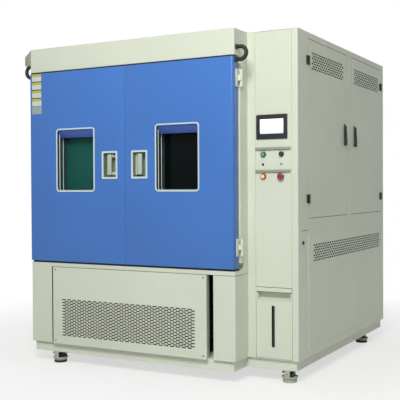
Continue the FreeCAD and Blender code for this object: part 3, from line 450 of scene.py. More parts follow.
# Near-black filter mats behind the vent slots, which also serve as painted shade inside the cabinet.
FILTER_MAT_SHADE = rubber("filter_mat", srgb(16, 17, 16))
# Dark colour for the level tube and for the plate behind the sight slot, where it is painted shade inside the
# drawer.
SIGHT_SLOT_SHADE = moulded("sight_tube_slot_shade", srgb(28, 24, 22), 0.2, 300.0, 0.03)
USB_BLUE = moulded("socket_tongue", srgb(86, 124, 150), 0.4)


# Geometry

class Form:
    """Collects faces in cabinet millimetres and makes one object of them."""

    def __init__(self):
        self.points = []
        self.faces = []

    def add(self, points, faces):
        start = len(self.points)
        self.points += points
        self.faces += [tuple(start + i for i in face) for face in faces]
        return self

    def block(self, x0, x1, y0, y1, z0, z1):
        points = [(x, y, z) for x in (x0, x1) for y in (y0, y1) for z in (z0, z1)]
        faces = [(0, 1, 3, 2), (4, 6, 7, 5), (0, 4, 5, 1), (2, 3, 7, 6), (0, 2, 6, 4), (1, 5, 7, 3)]
        return self.add(points, faces)

    def prism(self, axis, outline, a, b):
        """outline holds points in the other two axes, in their xyz order."""
        n = len(outline)
        points = []
        for w in (a, b):
            for p in outline:
                p = list(p)
                p.insert(axis, w)
                points.append(tuple(p))
        faces = [tuple(range(n)), tuple(range(2 * n - 1, n - 1, -1))]
        faces += [(i, (i + 1) % n, n + (i + 1) % n, n + i) for i in range(n)]
        return self.add(points, faces)

    def rings(self, loops, closed_ends=True):
        """Skins equal loops of points one after the other."""
        n = len(loops[0])
        points = [p for loop in loops for p in loop]
        faces = []
        for j in range(len(loops) - 1):
            for i in range(n):
                k = (i + 1) % n
                faces.append((j * n + i, j * n + k, (j + 1) * n + k, (j + 1) * n + i))
        if closed_ends:
            faces.append(tuple(range(n)))
            faces.append(tuple(range((len(loops) - 1) * n, len(loops) * n))[::-1])
        return self.add(points, faces)

    def turned(self, axis, centre, profile, steps=32):
        """profile holds (radius, distance along the axis) from one end to the other."""
        return self.rings([circle(axis, centre, max(r, 0.01), d, steps) for r, d in profile])

    def tube(self, axis, centre, radius, bore, length, steps=32):
        profile = [(bore, 0), (radius - 0.8, 0), (radius, 0.8), (radius, length - 0.8),
                   (radius - 0.8, length), (bore, length), (bore, 0)]
        return self.rings([circle(axis, centre, r, d, steps) for r, d in profile], False)

    def make(self, name, material, body, bevel=0.0, cad=(), slot=None, sharp=32.0, stay=False, smooth=True):
        mesh = bpy.data.meshes.new(name)
        mesh.from_pydata([at(*p) for p in self.points], [], self.faces)
        mesh.validate()
        obj = placed(name, mesh)
        mesh.materials.append(material)
        clean(mesh)
        if bevel:
            modifier = obj.modifiers.new("edges", "BEVEL")
            modifier.width = bevel / 1000
            modifier.segments = 2
            modifier.limit_method = "ANGLE"
            modifier.angle_limit = math.radians(35)
            modifier.harden_normals = False
            apply_modifiers(obj)
        shaded(obj.data, smooth, sharp)
        if not stay:
            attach(obj, body)
        if cad:
            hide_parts(*cad)
        return obj


def placed(name, data):
    obj = bpy.data.objects.new(name, data)
    bpy.context.scene.collection.objects.link(obj)
    return obj


def slab(name, material, body, extent, bevel=0.0):
    """One plain block, its extent given as x0, x1, y0, y1, z0, z1."""
    Form().block(*extent).make(name, material, body, bevel)


def shaded(mesh, smooth=True, sharp=32.0):
    mesh.polygons.foreach_set("use_smooth", [smooth] * len(mesh.polygons))
    if smooth:
        mesh.set_sharp_from_angle(angle=math.radians(sharp))


def clean(mesh):
    b = bmesh.new()
    b.from_mesh(mesh)
    bmesh.ops.remove_doubles(b, verts=b.verts, dist=1e-6)
    bmesh.ops.recalc_face_normals(b, faces=b.faces)
    b.to_mesh(mesh)
    b.free()


def apply_modifiers(obj):
    graph = bpy.context.evaluated_depsgraph_get()
    made = bpy.data.meshes.new_from_object(obj.evaluated_get(graph))
    obj.modifiers.clear()
    obj.data = made


def flip(form):
    """Mirror image about the middle of the two doors."""
    form.points = [(2 * MID_X - x, y, z) for x, y, z in form.points]
    return form


def sided(form, side):
    return flip(form) if side == "left" else form


def paired(form, side, name, material, body, bevel=0.0, cad=None, slot=None, **more):
    """Makes one of a pair. Its name and that of the node it replaces end in the side."""
    nodes = (cad + "_" + side,) if cad else ()
    return sided(form, side).make(name + "_" + side, material, body, bevel, nodes, slot, **more)


def rounded_loop(cx, cz, w, h, r, y, steps=6):
    loop = []
    corners = ((1, 1, 0), (-1, 1, 90), (-1, -1, 180), (1, -1, 270))
    for sx, sz, start in corners:
        for i in range(steps + 1):
            x, z = polar(cx + sx * (w / 2 - r), cz + sz * (h / 2 - r), r, start + 90.0 * i / steps)
            loop.append((x, y, z))
    return loop


def swept_frame(cx, cz, w, h, r, profile, steps=6):
    """Skin of a rounded rectangle; profile holds (inset, y) pairs."""
    loops = []
    for inset, y in profile:
        radius = max(r - inset, 1.5)
        loops.append(rounded_loop(cx, cz, w - 2 * inset, h - 2 * inset, radius, y, steps))
    return Form().rings(loops, False)


def slotted_sheet(flat, u0, u1, z0, z1, w, rows_at, slot):
    """Sheet with staggered rows of round-ended slots. flat is 1 for a front sheet and 0 for a side sheet."""
    form = Form()
    t = SHEET
    first_u, first_z, columns, rows = rows_at
    slot_w, slot_h, pitch_z = slot

    def put(u, z, depth):
        return (u, depth, z) if flat == 1 else (depth, u, z)

    def patch(points):
        """One flat patch, on both faces of the sheet."""
        n = len(points)
        form.add([put(u, z, w) for u, z in points], [tuple(range(n))])
        form.add([put(u, z, w + t) for u, z in points], [tuple(range(n))[::-1]])

    def wall(points):
        n = len(points)
        form.add([put(u, z, w) for u, z in points] + [put(u, z, w + t) for u, z in points],
                 [(i, (i + 1) % n, n + (i + 1) % n, n + i) for i in range(n)])

    gap = SLOT_PITCH - slot_w
    bottom = first_z - (pitch_z - slot_h) / 2
    top = bottom + rows * pitch_z
    patch([(u0, z0), (u1, z0), (u1, bottom), (u0, bottom)])
    patch([(u0, top), (u1, top), (u1, z1), (u0, z1)])
    for j in range(rows):
        a = bottom + j * pitch_z
        b = a + pitch_z
        start = first_u + (SLOT_PITCH / 2 if j % 2 else 0.0) - gap / 2
        end = start + columns * SLOT_PITCH
        patch([(u0, a), (start, a), (start, b), (u0, b)])
        patch([(end, a), (u1, a), (u1, b), (end, b)])
        for i in range(columns):
            left = start + i * SLOT_PITCH
            right = left + SLOT_PITCH
            mid = (a + b) / 2
            r = slot_h / 2
            x0, x1 = left + gap / 2 + r, right - gap / 2 - r
            upper = [polar(x0, mid, r, d) for d in (180, 145, 110, 90)]
            upper += [polar(x1, mid, r, d) for d in (90, 70, 35, 0)]
            lower = [(u, 2 * mid - z) for u, z in upper[::-1]]
            patch([(left, mid)] + upper + [(right, mid), (right, b), (left, b)])
            patch([(right, mid)] + lower + [(left, mid), (left, a), (right, a)])
            wall(upper + lower[1:-1])
    wall([(u0, z0), (u1, z0), (u1, z1), (u0, z1)])
    return form


def folded_edges(form, flat, u0, u1, z0, z1, w0, w1):
    """The four edges of a sheet, folded back from w0 to w1."""
    a, b = u0 + SHEET, u1 - SHEET
    strips = ((u0, a, z0, z1), (b, u1, z0, z1), (a, b, z0, z0 + SHEET), (a, b, z1 - SHEET, z1))
    for near, far, low, high in strips:
        across = (near, far, w0, w1) if flat == 1 else (w0, w1, near, far)
        form.block(*across, low, high)


# Cabinet pieces

def front_vent_panel():
    x0, x1, z0, z1 = VENT
    y = FRONT_SHEET_Y
    form = slotted_sheet(1, x0, x1, z0, z1, y, FRONT_SLOTS, FRONT_SLOT)
    folded_edges(form, 1, x0, x1, z0, z1, y + SHEET, -0.3)
    form.make("front_panel_sheet", PAINT, "chamber", cad=("front_vent_panel",), slot="powder_coat",
              smooth=False)
    # The mat behind the slots is also painted shade.
    slab("front_filter_mat", FILTER_MAT_SHADE, "chamber", (x0 + 40, x1 - 40, 3.5, 5.0, z0 + 30, z1 - 120))


def base_skin():
    """Cheek of the base front beside the service panel, with black strips as painted shade in the groove
    beside it and in the seam along the base's right end.
    """
    x0, x1, _, z1 = VENT
    slab("base_cheek", PAINT, "chamber", (10.0, x0 - 20.0, -0.25, 2.0, SKIN_Z, z1 + 2))
    # Black strip as painted shade in the groove.
    slab("base_joint_shade", BLACK, "chamber", (x0 - 20.0, x0 - 14.0, -0.2, 0.2, SKIN_Z, z1 + 2))
    # Black strips as painted shade in the base's seam.
    seam = Form().block(x1 + 46.0, MAIN_W - 1, -0.25, 0.4, z1 - 0.5, z1 + 2)
    seam.block(MAIN_W - 1, MAIN_W + 0.25, 1.0, STEP_BACK, z1 - 0.5, z1 + 2)
    seam.make("base_seam_shade", BLACK, "chamber")


def service_panels():
    side = slotted_sheet(0, *SERVICE, FULL_W, SERVICE_SLOTS, SIDE_SLOT)
    side.make("side_service_sheet", PAINT, "chamber", cad=("service_panels",), slot="powder_coat",
              smooth=False)
    # The mat behind the slots is also painted shade.
    slab("side_filter_mat", FILTER_MAT_SHADE, "chamber", (FULL_W - 1.8, FULL_W - 0.6, 380, 1832, 690, 848))
    x0, x1, z0, z1 = REAR_SHEET
    middle = ((x0 + x1) / 2, (z0 + z1) / 2)
    rear = Form().rings([rounded_loop(*middle, x1 - x0, z1 - z0, 3, y, 3) for y in (DEPTH, DEPTH + SHEET)])
    rear.make("rear_service_sheet", PAINT, "chamber", cad=("service_panels",), slot="powder_coat")
    louvres = Form()
    near = DEPTH + 1.5
    far = DEPTH + 8.5
    for x in LOUVRE_X:
        for z in LOUVRE_Z:
            louvres.prism(0, [(near, z - 2), (far, z), (far, z + 1.5), (near, z + 16)], x, x + LOUVRE_W)
    louvres.make("rear_louvres", PAINT, "chamber", 1.0)
    Form().tube(1, GLAND, 20, 12, 26).make("cable_gland", NYLON, "chamber")
    hexagon = [polar(GLAND[0], GLAND[2], 24, 60 * i) for i in range(6)]
    nut = Form().rings([[(x, y, z) for x, z in hexagon] for y in (DEPTH + 3, DEPTH + 10)])
    nut.make("cable_gland_nut", NYLON, "chamber", 1.0)
    Form().tube(1, UNION, 10.4, 7.5, 32).make("water_union_thread", ZINC, "chamber")
    Form().tube(1, UNION, 15, 10.5, 6, 6).make("water_union_collar", ZINC, "chamber")


def screw(form, axis, centre, sign):
    """Button-head socket screw."""
    head = [(6.3, 0), (6.3, 0.6), (5.6, 2.0), (4.0, 2.8), (3.0, 2.9)]
    socket = [(2.2, 2.9), (2.2, 1.2), (0.0, 1.2)]
    form.turned(axis, centre, [(r, d * sign) for r, d in head + socket], 18)


def screw_group(name, axis, w, sign, places, material, slot=None):
    form = Form()
    across, up = places
    for u in across:
        for z in up:
            screw(form, axis, (u, w, z) if axis == 1 else (w, u, z), sign)
    form.make(name, material, "chamber", cad=("panel_screws",), slot=slot)


def panel_screws():
    screw_group("front_panel_screws", 1, FRONT_SHEET_Y, -1, FRONT_SCREWS, ZINC, "screw_steel")
    screw_group("side_panel_screws", 0, FULL_W + SHEET, 1, SIDE_SCREWS, PAINT)
    screw_group("rear_panel_screws", 1, DEPTH + SHEET, 1, REAR_SCREWS, DARK_STEEL)


def side_door(index):
    name = "side_door_" + ("front", "rear")[index]
    y0 = SIDE_Y[index][0] + SIDE_SEAM
    y1 = SIDE_Y[index][1] - SIDE_SEAM
    z0 = SIDE_Z0 + SIDE_SEAM
    z1 = SIDE_Z1 - SIDE_SEAM
    columns = SIDE_COLUMNS
    width = (columns - 1) * SLOT_PITCH + SIDE_SLOT[0] + SLOT_PITCH / 2
    rows_at = ((y0 + y1) / 2 - width / 2, SIDE_SLOT_Z, columns, SIDE_ROWS)
    face = FULL_W - SHEET
    form = slotted_sheet(0, y0, y1, z0, z1, face, rows_at, SIDE_SLOT)
    folded_edges(form, 0, y0, y1, z0, z1, FULL_W - SIDE_RETURN, face)
    form.make(name + "_sheet", PAINT, name, cad=(name,), slot="powder_coat", smooth=False)
    # The mat behind the slots is also painted shade.
    slab(name + "_filter_mat", FILTER_MAT_SHADE, name, (FULL_W - 5.5, FULL_W - 4.0, y0 + 4, y1 - 4, z1 - 190, z1 - 50))
    edge = SIDE_Y[index][index]
    away = 1 if index == 0 else -1
    for k, zc in enumerate(SIDE_HINGE_Z):
        side_hinge_half(name + "_hinge_%d" % k, edge, away, zc, True, name, (name,))
        side_hinge_half("%s_hinge_base_%d" % (name, k), edge, away, zc, False, "chamber", ("hinge_bases",))
    yc = LOCK_Y[index]
    plate = Form().rings([
        [(x, y, z) for y, z in stadium(yc, LOCK_Z0 - 4, LOCK_TOP + 16, 10 - shrink)]
        for x, shrink in ((FULL_W, 0.0), (FULL_W + 3.2, 0.0), (FULL_W + 4, 0.8))])
    plate.make(name + "_lock_plate", BLACK, name, cad=(name,), slot="lock_black")


def stadium(yc, z0, z1, r):
    steps = 8
    ends = ((z1 - r, 0), (z0 + r, 180))
    return [polar(yc, zc, r, start + 180.0 * i / steps) for zc, start in ends for i in range(steps + 1)]


def side_hinge_half(name, edge, away, zc, moving, body, cad):
    z0 = zc - SIDE_HINGE_H / 2
    z1 = zc + SIDE_HINGE_H / 2
    s = away if moving else -away
    form = Form()
    form.block(FULL_W, FULL_W + 4, *sorted((edge + s * 6.0, edge + s * 28.0)), z0, z1)
    low, high = (zc + 0.3, z1) if moving else (z0, zc - 0.3)
    form.block(FULL_W + 1, FULL_W + 4, *sorted((edge + s * 1.0, edge + s * 9.0)), low, high)
    form.make(name, BLACK, body, 0.9, cad=cad, slot="lock_black")
    r = 6.0
    profile = [(0, low), (r - 1, low), (r, low + 1), (r, high - 1), (r - 1, high), (0, high)]
    barrel = Form().turned(2, (SIDE_AXIS_X, edge, 0), profile, 28)
    barrel.make(name + "_barrel", BLACK, body, cad=cad, slot="lock_black")
    studs = Form()
    y = edge + s * 17.0
    for z in (zc - 17.0, zc + 17.0):
        studs.turned(0, (FULL_W + 3.6, y, z), [(0, 0), (4.2, 0), (4.2, 0.9), (3.2, 1.5), (0, 1.5)], 18)
    studs.make(name + "_studs", NYLON, body)


def knuckle(form, z0, z1):
    """One round link of a main door's hinge."""
    profile = [(0, z0), (8, z0), (9, z0 + 1), (9, z1 - 1), (8, z1), (0, z1)]
    form.turned(2, (HINGE_X, HINGE_Y, 0), profile, 28)


def main_hinges():
    """Fixed halves of the two door hinges on each side of the cabinet."""
    web = [(1531, 80), (1531, 92), (1544, 92), (1552, 72), (1537, 66)]
    head = [(0, -1), (4.4, -1), (4.4, 0.3), (3.2, 1.2), (0, 1.2)]
    for side in SIDES:
        body = Form()
        barrels = Form()
        screws = Form()
        for z, foot in zip(HINGE_Z, HINGE_FOOT):
            body.block(MAIN_W, 1535, 78, 114, z - foot, z + HINGE_H)
            for a, b in HINGE_KNUCKLES:
                body.prism(2, web, z + a, z + b)
                knuckle(barrels, z + a, z + b)
            pin = [(0, z - 1.2), (4.2, z - 1.2), (5.2, z - 0.2), (5.2, z), (0, z)]
            barrels.turned(2, (HINGE_X, HINGE_Y, 0), pin, 24)
            for up in HINGE_SCREWS:
                screws.turned(0, (1535, 103.0, z + up), head, 16)
        for form, name, bevel in ((body, "base", 1.2), (barrels, "barrel", 0.0)):
            sided(form, side).make("main_hinge_%s_%s" % (name, side), HINGE_PAINT, "chamber", bevel,
                                   cad=("hinge_bases",), slot="hinge_grey")
        paired(screws, side, "main_hinge_screws", ZINC, "chamber")


def conduit(side):
    """Ribbed black conduit that leaves the header's side and turns back into the door's edge."""
    reach = LOOP_OUT[side]
    start = MAIN_W + reach
    centre_z = (LOOP_TOP + LOOP_BOTTOM) / 2
    pitch = 3.6
    bend_length = math.pi * LOOP_BEND
    total = reach + bend_length + (start - DOOR_X1)
    samples = int(total / (pitch / 4))
    ring = 20
    loops = []
    for k in range(samples + 1):
        s = total * k / samples
        if s < reach:
            centre, out = (MAIN_W + s, LOOP_TOP), 90.0
        elif s < reach + bend_length:
            out = 90.0 - 180.0 * (s - reach) / bend_length
            centre = polar(start, centre_z, LOOP_BEND, out)
        else:
            centre, out = (start - (s - reach - bend_length), LOOP_BOTTOM), -90.0
        r = LOOP_R - 0.6 * (0.5 - 0.5 * math.cos(2 * math.pi * s / pitch))
        loop = []
        for i in range(ring):
            b = 2 * math.pi * i / ring
            x, z = polar(*centre, r * math.cos(b), out)
            loop.append((x, LOOP_Y + r * math.sin(b), z))
        loops.append(loop)
    obj = paired(Form().rings(loops), side, "conduit", CONDUIT, "chamber", cad="cable_loop", slot="conduit",
                 sharp=80.0, stay=True)
    x = MAIN_W if side == "right" else 2 * MID_X - MAIN_W
    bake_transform(obj)
    profile = [(0, 0), (16, 0), (16, 6.5), (14.4, 8), (14.4, 10), (12.0, 10), (12.0, 6), (0, 6)]
    ends = (("top", MAIN_W, LOOP_TOP, "chamber"), ("end", DOOR_X1, LOOP_BOTTOM, side + "_door"))
    for name, x0, z, body in ends:
        form = Form().turned(0, (x0, LOOP_Y, z), profile, 12)
        paired(form, side, "conduit_collar_" + name, NYLON, body, 0.6, cad="cable_loop", slot="conduit")


def header_cowl():
    """Front of the header's small cowl, and dark rubber strips in the gaps above and below the doors, as
    painted shade in those gaps.
    """
    outline = [(0, 2094), (-49, 2051), (-49, 1992), (0, 1992)]
    # The cowl's front takes the grey as painted shade.
    Form().prism(1, outline, 3.0, 47.5).make("cowl_front", STRIP_GREY_SHADE, "chamber", 1.5)
    slab("header_gap_shade", RUBBER, "chamber", (4.0, MAIN_W - 4.0, 4.0, 16.0, DOOR_Z1 + 0.2, HEADER_Z - 0.2))
    slab("sill_gap_shade", RUBBER, "chamber", (6.0, MAIN_W - 6.0, 10.0, 72.0, BASE_TOP_Z + 0.2, DOOR_Z0 - 1.5))


# Main doors

def carve(obj, cutters):
    """Takes the cutters out of the form and drops them."""
    for k, cutter in enumerate(cutters):
        modifier = obj.modifiers.new("carve_%d" % k, "BOOLEAN")
        modifier.operation = "DIFFERENCE"
        modifier.solver = "EXACT"
        modifier.object = cutter
    apply_modifiers(obj)
    for cutter in cutters:
        bpy.data.objects.remove(cutter)


def door_hole(side, place, size, radius, back):
    """Rounded through hole seen from the front, as a loose cutter."""
    loops = [rounded_loop(*place, *size, radius, y) for y in (DOOR_Y - 5, back)]
    return sided(Form().rings(loops), side).make("cutter", DOOR_PAINT, side + "_door", stay=True)


def door_leaf(side):
    door = side + "_door"
    r = DOOR_EDGE_R
    arc = [polar(DOOR_X1 - r, DOOR_Y + r, r, 15 * i - 90) for i in range(7)]
    outline = [(DOOR_X0, DOOR_BACK), (DOOR_X0, DOOR_Y)] + arc + [(DOOR_X1, DOOR_BACK)]
    shell = paired(Form().prism(2, outline, DOOR_Z0, DOOR_Z1), side, "door_leaf", DOOR_PAINT, door, 0.5,
                   cad="door_shell", slot="door_blue", stay=True)
    carve(shell, [
        door_hole(side, (WIN_X, WIN_Z), (WIN_W - 6, WIN_H - 6), WIN_R - 3, PLUG_BACK + 5),
        door_hole(side, (PULL_X, PULL_Z), (PULL_W - 4, PULL_H - 4), 6.0, DOOR_Y + PULL_DEEP + 2),
    ])
    finish_edges(shell, door)
    if side == "right":
        # A dark strip in the gap between the doors, as painted shade in that gap.
        slab("meeting_gap_shade", SEAL, door,
             (MID_X - 0.5, MID_X + 0.75, DOOR_Y + 10, DOOR_Y + 34, DOOR_Z0 + 1, DOOR_Z1 - 1))
    x0, x1, z0, z1 = PLUG
    sheet = Form().block(DOOR_X0 + 2, DOOR_X1 - 0.5, DOOR_BACK, DOOR_BACK + 2, DOOR_Z0 + 0.5, DOOR_Z1 - 0.5)
    plug = Form().block(x0, x1, DOOR_BACK + 1.9, PLUG_BACK, z0, z1)
    made = [paired(form, side, name, STEEL_UP, door, bevel, cad="door_liner", slot="stainless", stay=True)
            for form, name, bevel in ((sheet, "door_back", 0.0), (plug, "door_plug", 2.0))]
    size = (WIN_W - 2 * WIN_BORDER + 4, WIN_H - 2 * WIN_BORDER + 4)
    for obj in made:
        carve(obj, [door_hole(side, (WIN_X, WIN_Z), size, WIN_R - WIN_BORDER + 2, PLUG_BACK + 5)])
        finish_edges(obj, door)


def finish_edges(obj, body):
    shaded(obj.data)
    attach(obj, body)


def door_hinge_halves(side):
    """Leaf, web and knuckle that move with the door."""
    leaf = Form()
    links = Form()
    for z in HINGE_Z:
        a, b = z + 35, z + HINGE_H - 35
        leaf.block(DOOR_X1, MAIN_W + 1, 26, 56, z, z + HINGE_H)
        leaf.block(MAIN_W, HINGE_X + 4, 50, 61.5, a, b)
        knuckle(links, a, b)
    for form, name, bevel in ((leaf, "door_hinge_leaf", 1.0), (links, "door_hinge_knuckle", 0.0)):
        paired(form, side, name, HINGE_PAINT, side + "_door", bevel, cad="door_hinges", slot="hinge_grey")


def pull_lever(side):
    """C-shaped lever: a hub on the pin, two arms and a flat grip plate."""
    z0, z1 = LEVER_Z
    x, y = LEVER_X, LEVER_Y
    thick = 19
    profile = [(3.1, z0), (7.0, z0), (7.5, z0 + 0.5), (7.5, z1 - 0.5), (7.0, z1), (3.1, z1)]
    hub = Form().turned(2, (x, y, 0), profile, 28)
    arm = [(x, y - 6), (x, y + 3), (x + 14, y + 3), (x + 34, -2), (x + 34, -13), (x + 14, y - 6)]
    grip = Form()
    for a in (z0, z1 - thick):
        grip.prism(2, arm, a, a + thick)
    grip.block(x + 27, x + 57, -15, -3, z0, z1)
    for form, name, bevel in ((hub, "lever_hub", 0.0), (grip, "lever_grip", 2.2)):
        paired(form, side, name, LEVER_GREY, side + "_lever", bevel, cad="door_lever", slot="lever_grey")


def window(side):
    door = side + "_door"
    w, h, b = WIN_W, WIN_H, WIN_BORDER

    def framed(name, material, profile, **more):
        """Sweeps (inset, distance behind the door's face) round the window."""
        profile = [(inset, DOOR_Y + y) for inset, y in profile]
        paired(swept_frame(WIN_X, WIN_Z, w, h, WIN_R, profile, 8), side, name, material, door, **more)

    in_cad = {"cad": "window_frame", "slot": "trim_silver"}
    bead = [(0, 0), (0.3, -2.6), (1.4, -4.4), (3.0, -5.0), (b - 2.6, -5.0), (b - 1.0, -4.2), (b - 0.2, -2.6),
            (b, 0.5)]
    deep = PLUG_BACK + 1 - DOOR_Y
    framed("window_trim", TRIM, bead, **in_cad)
    framed("window_reveal", REVEAL_SHADED, [(b, 0.5), (b, deep), (b - 2, deep), (b - 2, 0.5)], **in_cad)
    # The folds carry painted highlight streaks.
    for near, far in REVEAL_FOLDS:
        fold = [(b - 0.2, near), (b + 1.6, near + 0.6), (b + 1.6, far - 0.6), (b - 0.2, far)]
        framed("window_fold_%d" % near, FOLD_HIGHLIGHT, fold)
    top = WIN_Z + h / 2 - b
    half = w / 2 - b
    y = DOOR_Y
    outline = [(y + 2.0, top), (y + 6.0, top), (y + 38.0, top - 48), (y + 34.0, top - 50.0)]
    hood = Form().prism(0, outline, WIN_X - half + 0.4, WIN_X + half - 0.4)
    paired(hood, side, "window_hood", HOOD_PAINT, door, 0.8, **in_cad)
    panes = Form()
    for y in PANE_Y:
        panes.rings([rounded_loop(WIN_X, WIN_Z, w - 2 * b - 0.4, h - 2 * b - 0.4, WIN_R - b, q)
                     for q in (y, y + 6)])
    paired(panes, side, "window_panes", GLASS_LIT_AND_SHADED[side], door, cad="window_glass", slot="window_glass")
    inside = (WIN_X, WIN_Z, w - 2 * b - 0.6, h - 2 * b - 0.6, WIN_R - b)
    spacer = swept_frame(*inside, [(0, 80.1), (0, 91.9), (8, 91.9), (8, 80.1), (0, 80.1)])
    paired(spacer, side, "window_spacer", SEAL, door, cad="window_glass")
    seal = swept_frame(*inside, [(0, 73.9), (0, 70.5), (1.5, 69.6), (5.0, 71.0), (5.6, 73.9)])
    paired(seal, side, "window_seal", SEAL, door)


def pull_recess(side):
    door = side + "_door"
    w, h, b = PULL_W, PULL_H, PULL_BORDER
    corner = 8.0
    in_cad = {"cad": "handle_recess", "slot": "trim_silver"}
    bead = [(0, 0), (0.2, -3.2), (1.8, -5.0), (b - 1.8, -5.0), (b, -3.4), (b, 2.0)]
    bead = [(inset, DOOR_Y + y) for inset, y in bead]
    paired(swept_frame(PULL_X, PULL_Z, w, h, corner, bead), side, "pull_rim", TRIM, door, **in_cad)
    back = DOOR_Y + PULL_DEEP
    section = [(b, DOOR_Y + 1.5), (b + 0.3, back - 5), (b + 5, back)]
    walls = swept_frame(PULL_X, PULL_Z, w, h, corner, section, 4)
    last = len(walls.points) // 3
    walls.faces.append(tuple(range(2 * last, 3 * last)))
    # The pocket walls carry painted shade.
    paired(walls, side, "pull_pocket", POCKET_SHADE, door, **in_cad)
    low = PULL_Z - h / 2 + b
    high = PULL_Z + h / 2 - b
    pin = Form().turned(2, (LEVER_X, LEVER_Y, 0), [(0, low), (3, low), (3, high), (0, high)], 16)
    paired(pin, side, "pull_pin", ZINC, door, **in_cad)


def blank_labels():
    """Stack of blank films at the left door's upper corner."""
    x0, x1 = FILM_X
    front, back = DOOR_Y - 0.45, DOOR_Y - 0.02
    films = (
        ("film_dark", DARK_FILM, 1, -2.0, 4.5),
        ("film_yellow", YELLOW_FILM, 0, -19.5, -2.0),
        ("film_white", WHITE_FILM, 0, -50.0, -19.5),
    )
    for name, material, first, low, high in films:
        form = Form()
        for i in range(first, FILM_COUNT):
            top = FILM_TOP - FILM_PITCH * i
            form.block(x0, x1, front, back, top + low, top + high)
        form.make(name, material, "left_door")
    slab("film_grey", GREY_FILM, "left_door", (x0 - 1, x1 + 2, front, back, *LAST_FILM_Z))


# Control column

# x, z, radius, colour, glow, slot
BUTTONS = {
    "green_button": (1636.0, 1361.0, 15.5, srgb(14, 132, 82), 0.25, "button_green"),
    "dark_button": (1752.0, 1361.0, 14.5, srgb(34, 12, 11), 0.0, "button_dark"),
    "orange_button": (1636.0, 1229.0, 16.0, srgb(226, 98, 46), 1.6, "button_orange"),
    "emergency_stop": (1750.0, 1228.0, 20.0, srgb(136, 14, 28), 0.0, "button_red"),
}
RING_OF = {
    "green_button": moulded("ring_green", srgb(14, 92, 58), 0.3),
    "dark_button": moulded("ring_dark", srgb(26, 12, 12), 0.3),
    "orange_button": moulded("ring_orange", srgb(190, 66, 34), 0.3),
}


def push_button(name):
    x, z, r, colour, glow, slot = BUTTONS[name]
    y = STEP_BACK - 4.0
    material = lens(name + "_lens", colour, glow, tuple(at(x, y - 12, z)))
    if name in RING_OF:
        profile = [(0, 25), (6, 25), (6, -0.5), (11, -0.5), (11, -5), (r - 3.0, -5), (r - 3.0, -10.6),
                   (r - 4.2, -11.7), (7, -12.0), (0, -12.0)]
    else:
        profile = [(0, 25), (6, 25), (6, -1), (11, -1), (12.5, -6), (17, -8), (r - 0.6, -11), (r, -14.0),
                   (r - 1.0, -17.0), (r - 4.0, -18.6), (9, -19.0), (0, -19.0)]
    cap = Form().turned(1, (x, y, z), profile, 40)
    cap.make(name + "_cap", material, name, cad=(name,), slot=slot)
    if name in RING_OF:
        edge = [(r - 3.1, -5), (r, -5), (r, -8.6), (r - 1.2, -10.2), (r - 2.6, -10.4), (r - 3.1, -9.6)]
        ring = Form().turned(1, (x, y, z), edge, 40)
        ring.make(name + "_ring", RING_OF[name], name, cad=(name,), slot=slot)


def fitting(form, name, material, bevel=0.0):
    form.make(name, material, "chamber", bevel, cad=("panel_fittings",), slot="fitting_metal")


def panel_fittings():
    y = STEP_BACK
    for k, (z0, z1) in enumerate(STRIP_Z):
        section = [(y, z1), (y - 9, z1), (y - 9, z0), (y - 7.6, z0), (y - 7.6, z1 - 2), (y, z1 - 2)]
        # The strips' grey is darkened as painted shade under the ledges.
        fitting(Form().prism(0, section, PANEL_X0 + 2, PANEL_X1 - 6), "trim_strip_%d" % k, STRIP_GREY_SHADE, 0.5)
    for name, (x, z, r, *_) in BUTTONS.items():
        edge = min(r + 1, 17.0)
        profile = [(11.3, 0), (edge, 0), (edge, -2.8), (edge - 1.0, -4.0), (12.0, -4.0), (11.3, -3.2)]
        fitting(Form().turned(1, (x, y, z), profile, 40), name + "_collar", DARK_STEEL)
    x, z = ROUND_SOCKET
    profile = [(0, 3), (7, 0), (7, -3.6), (5.8, -5.0), (3.2, -5.0), (2.6, -2.0), (0, -2.0)]
    fitting(Form().turned(1, (x, y, z), profile, 28), "round_socket", BLACK)
    x, z = DATA_SOCKET
    corners = ((1, 1), (-1, 1), (-1, -1), (1, -1))
    steps = ((0, 0), (0, -2.4), (0.6, -3.0), (3.4, -3.0), (3.4, 9.0))
    shell = Form().rings([[(x + sx * (9 - i), y + d, z + sz * (6 - i)) for sx, sz in corners]
                          for i, d in steps], False)
    fitting(shell, "data_socket", CHROME)
    slab("data_socket_tongue", USB_BLUE, "chamber", (x - 4.5, x + 4.5, y - 1.5, y + 9, z + 0.2, z + 1.8), 0.3)


def touch_screen():
    y = STEP_BACK
    place = (PANEL_MID, SCREEN_Z)
    glass = Form().rings([rounded_loop(*place, SCREEN_W, SCREEN_H, 1.5, q, 3) for q in (y - 4.5, y - 5.1)])
    glass.make("screen_glass", SCREEN, "chamber", slot="screen_bezel")
    lip = [(0, y - 6.0), (0.4, y - 6.3), (1.0, y - 5.2)]
    inner = swept_frame(*place, SCREEN_W + 1, SCREEN_H + 1, 2.0, lip)
    inner.make("screen_edge", BEZEL, "chamber")


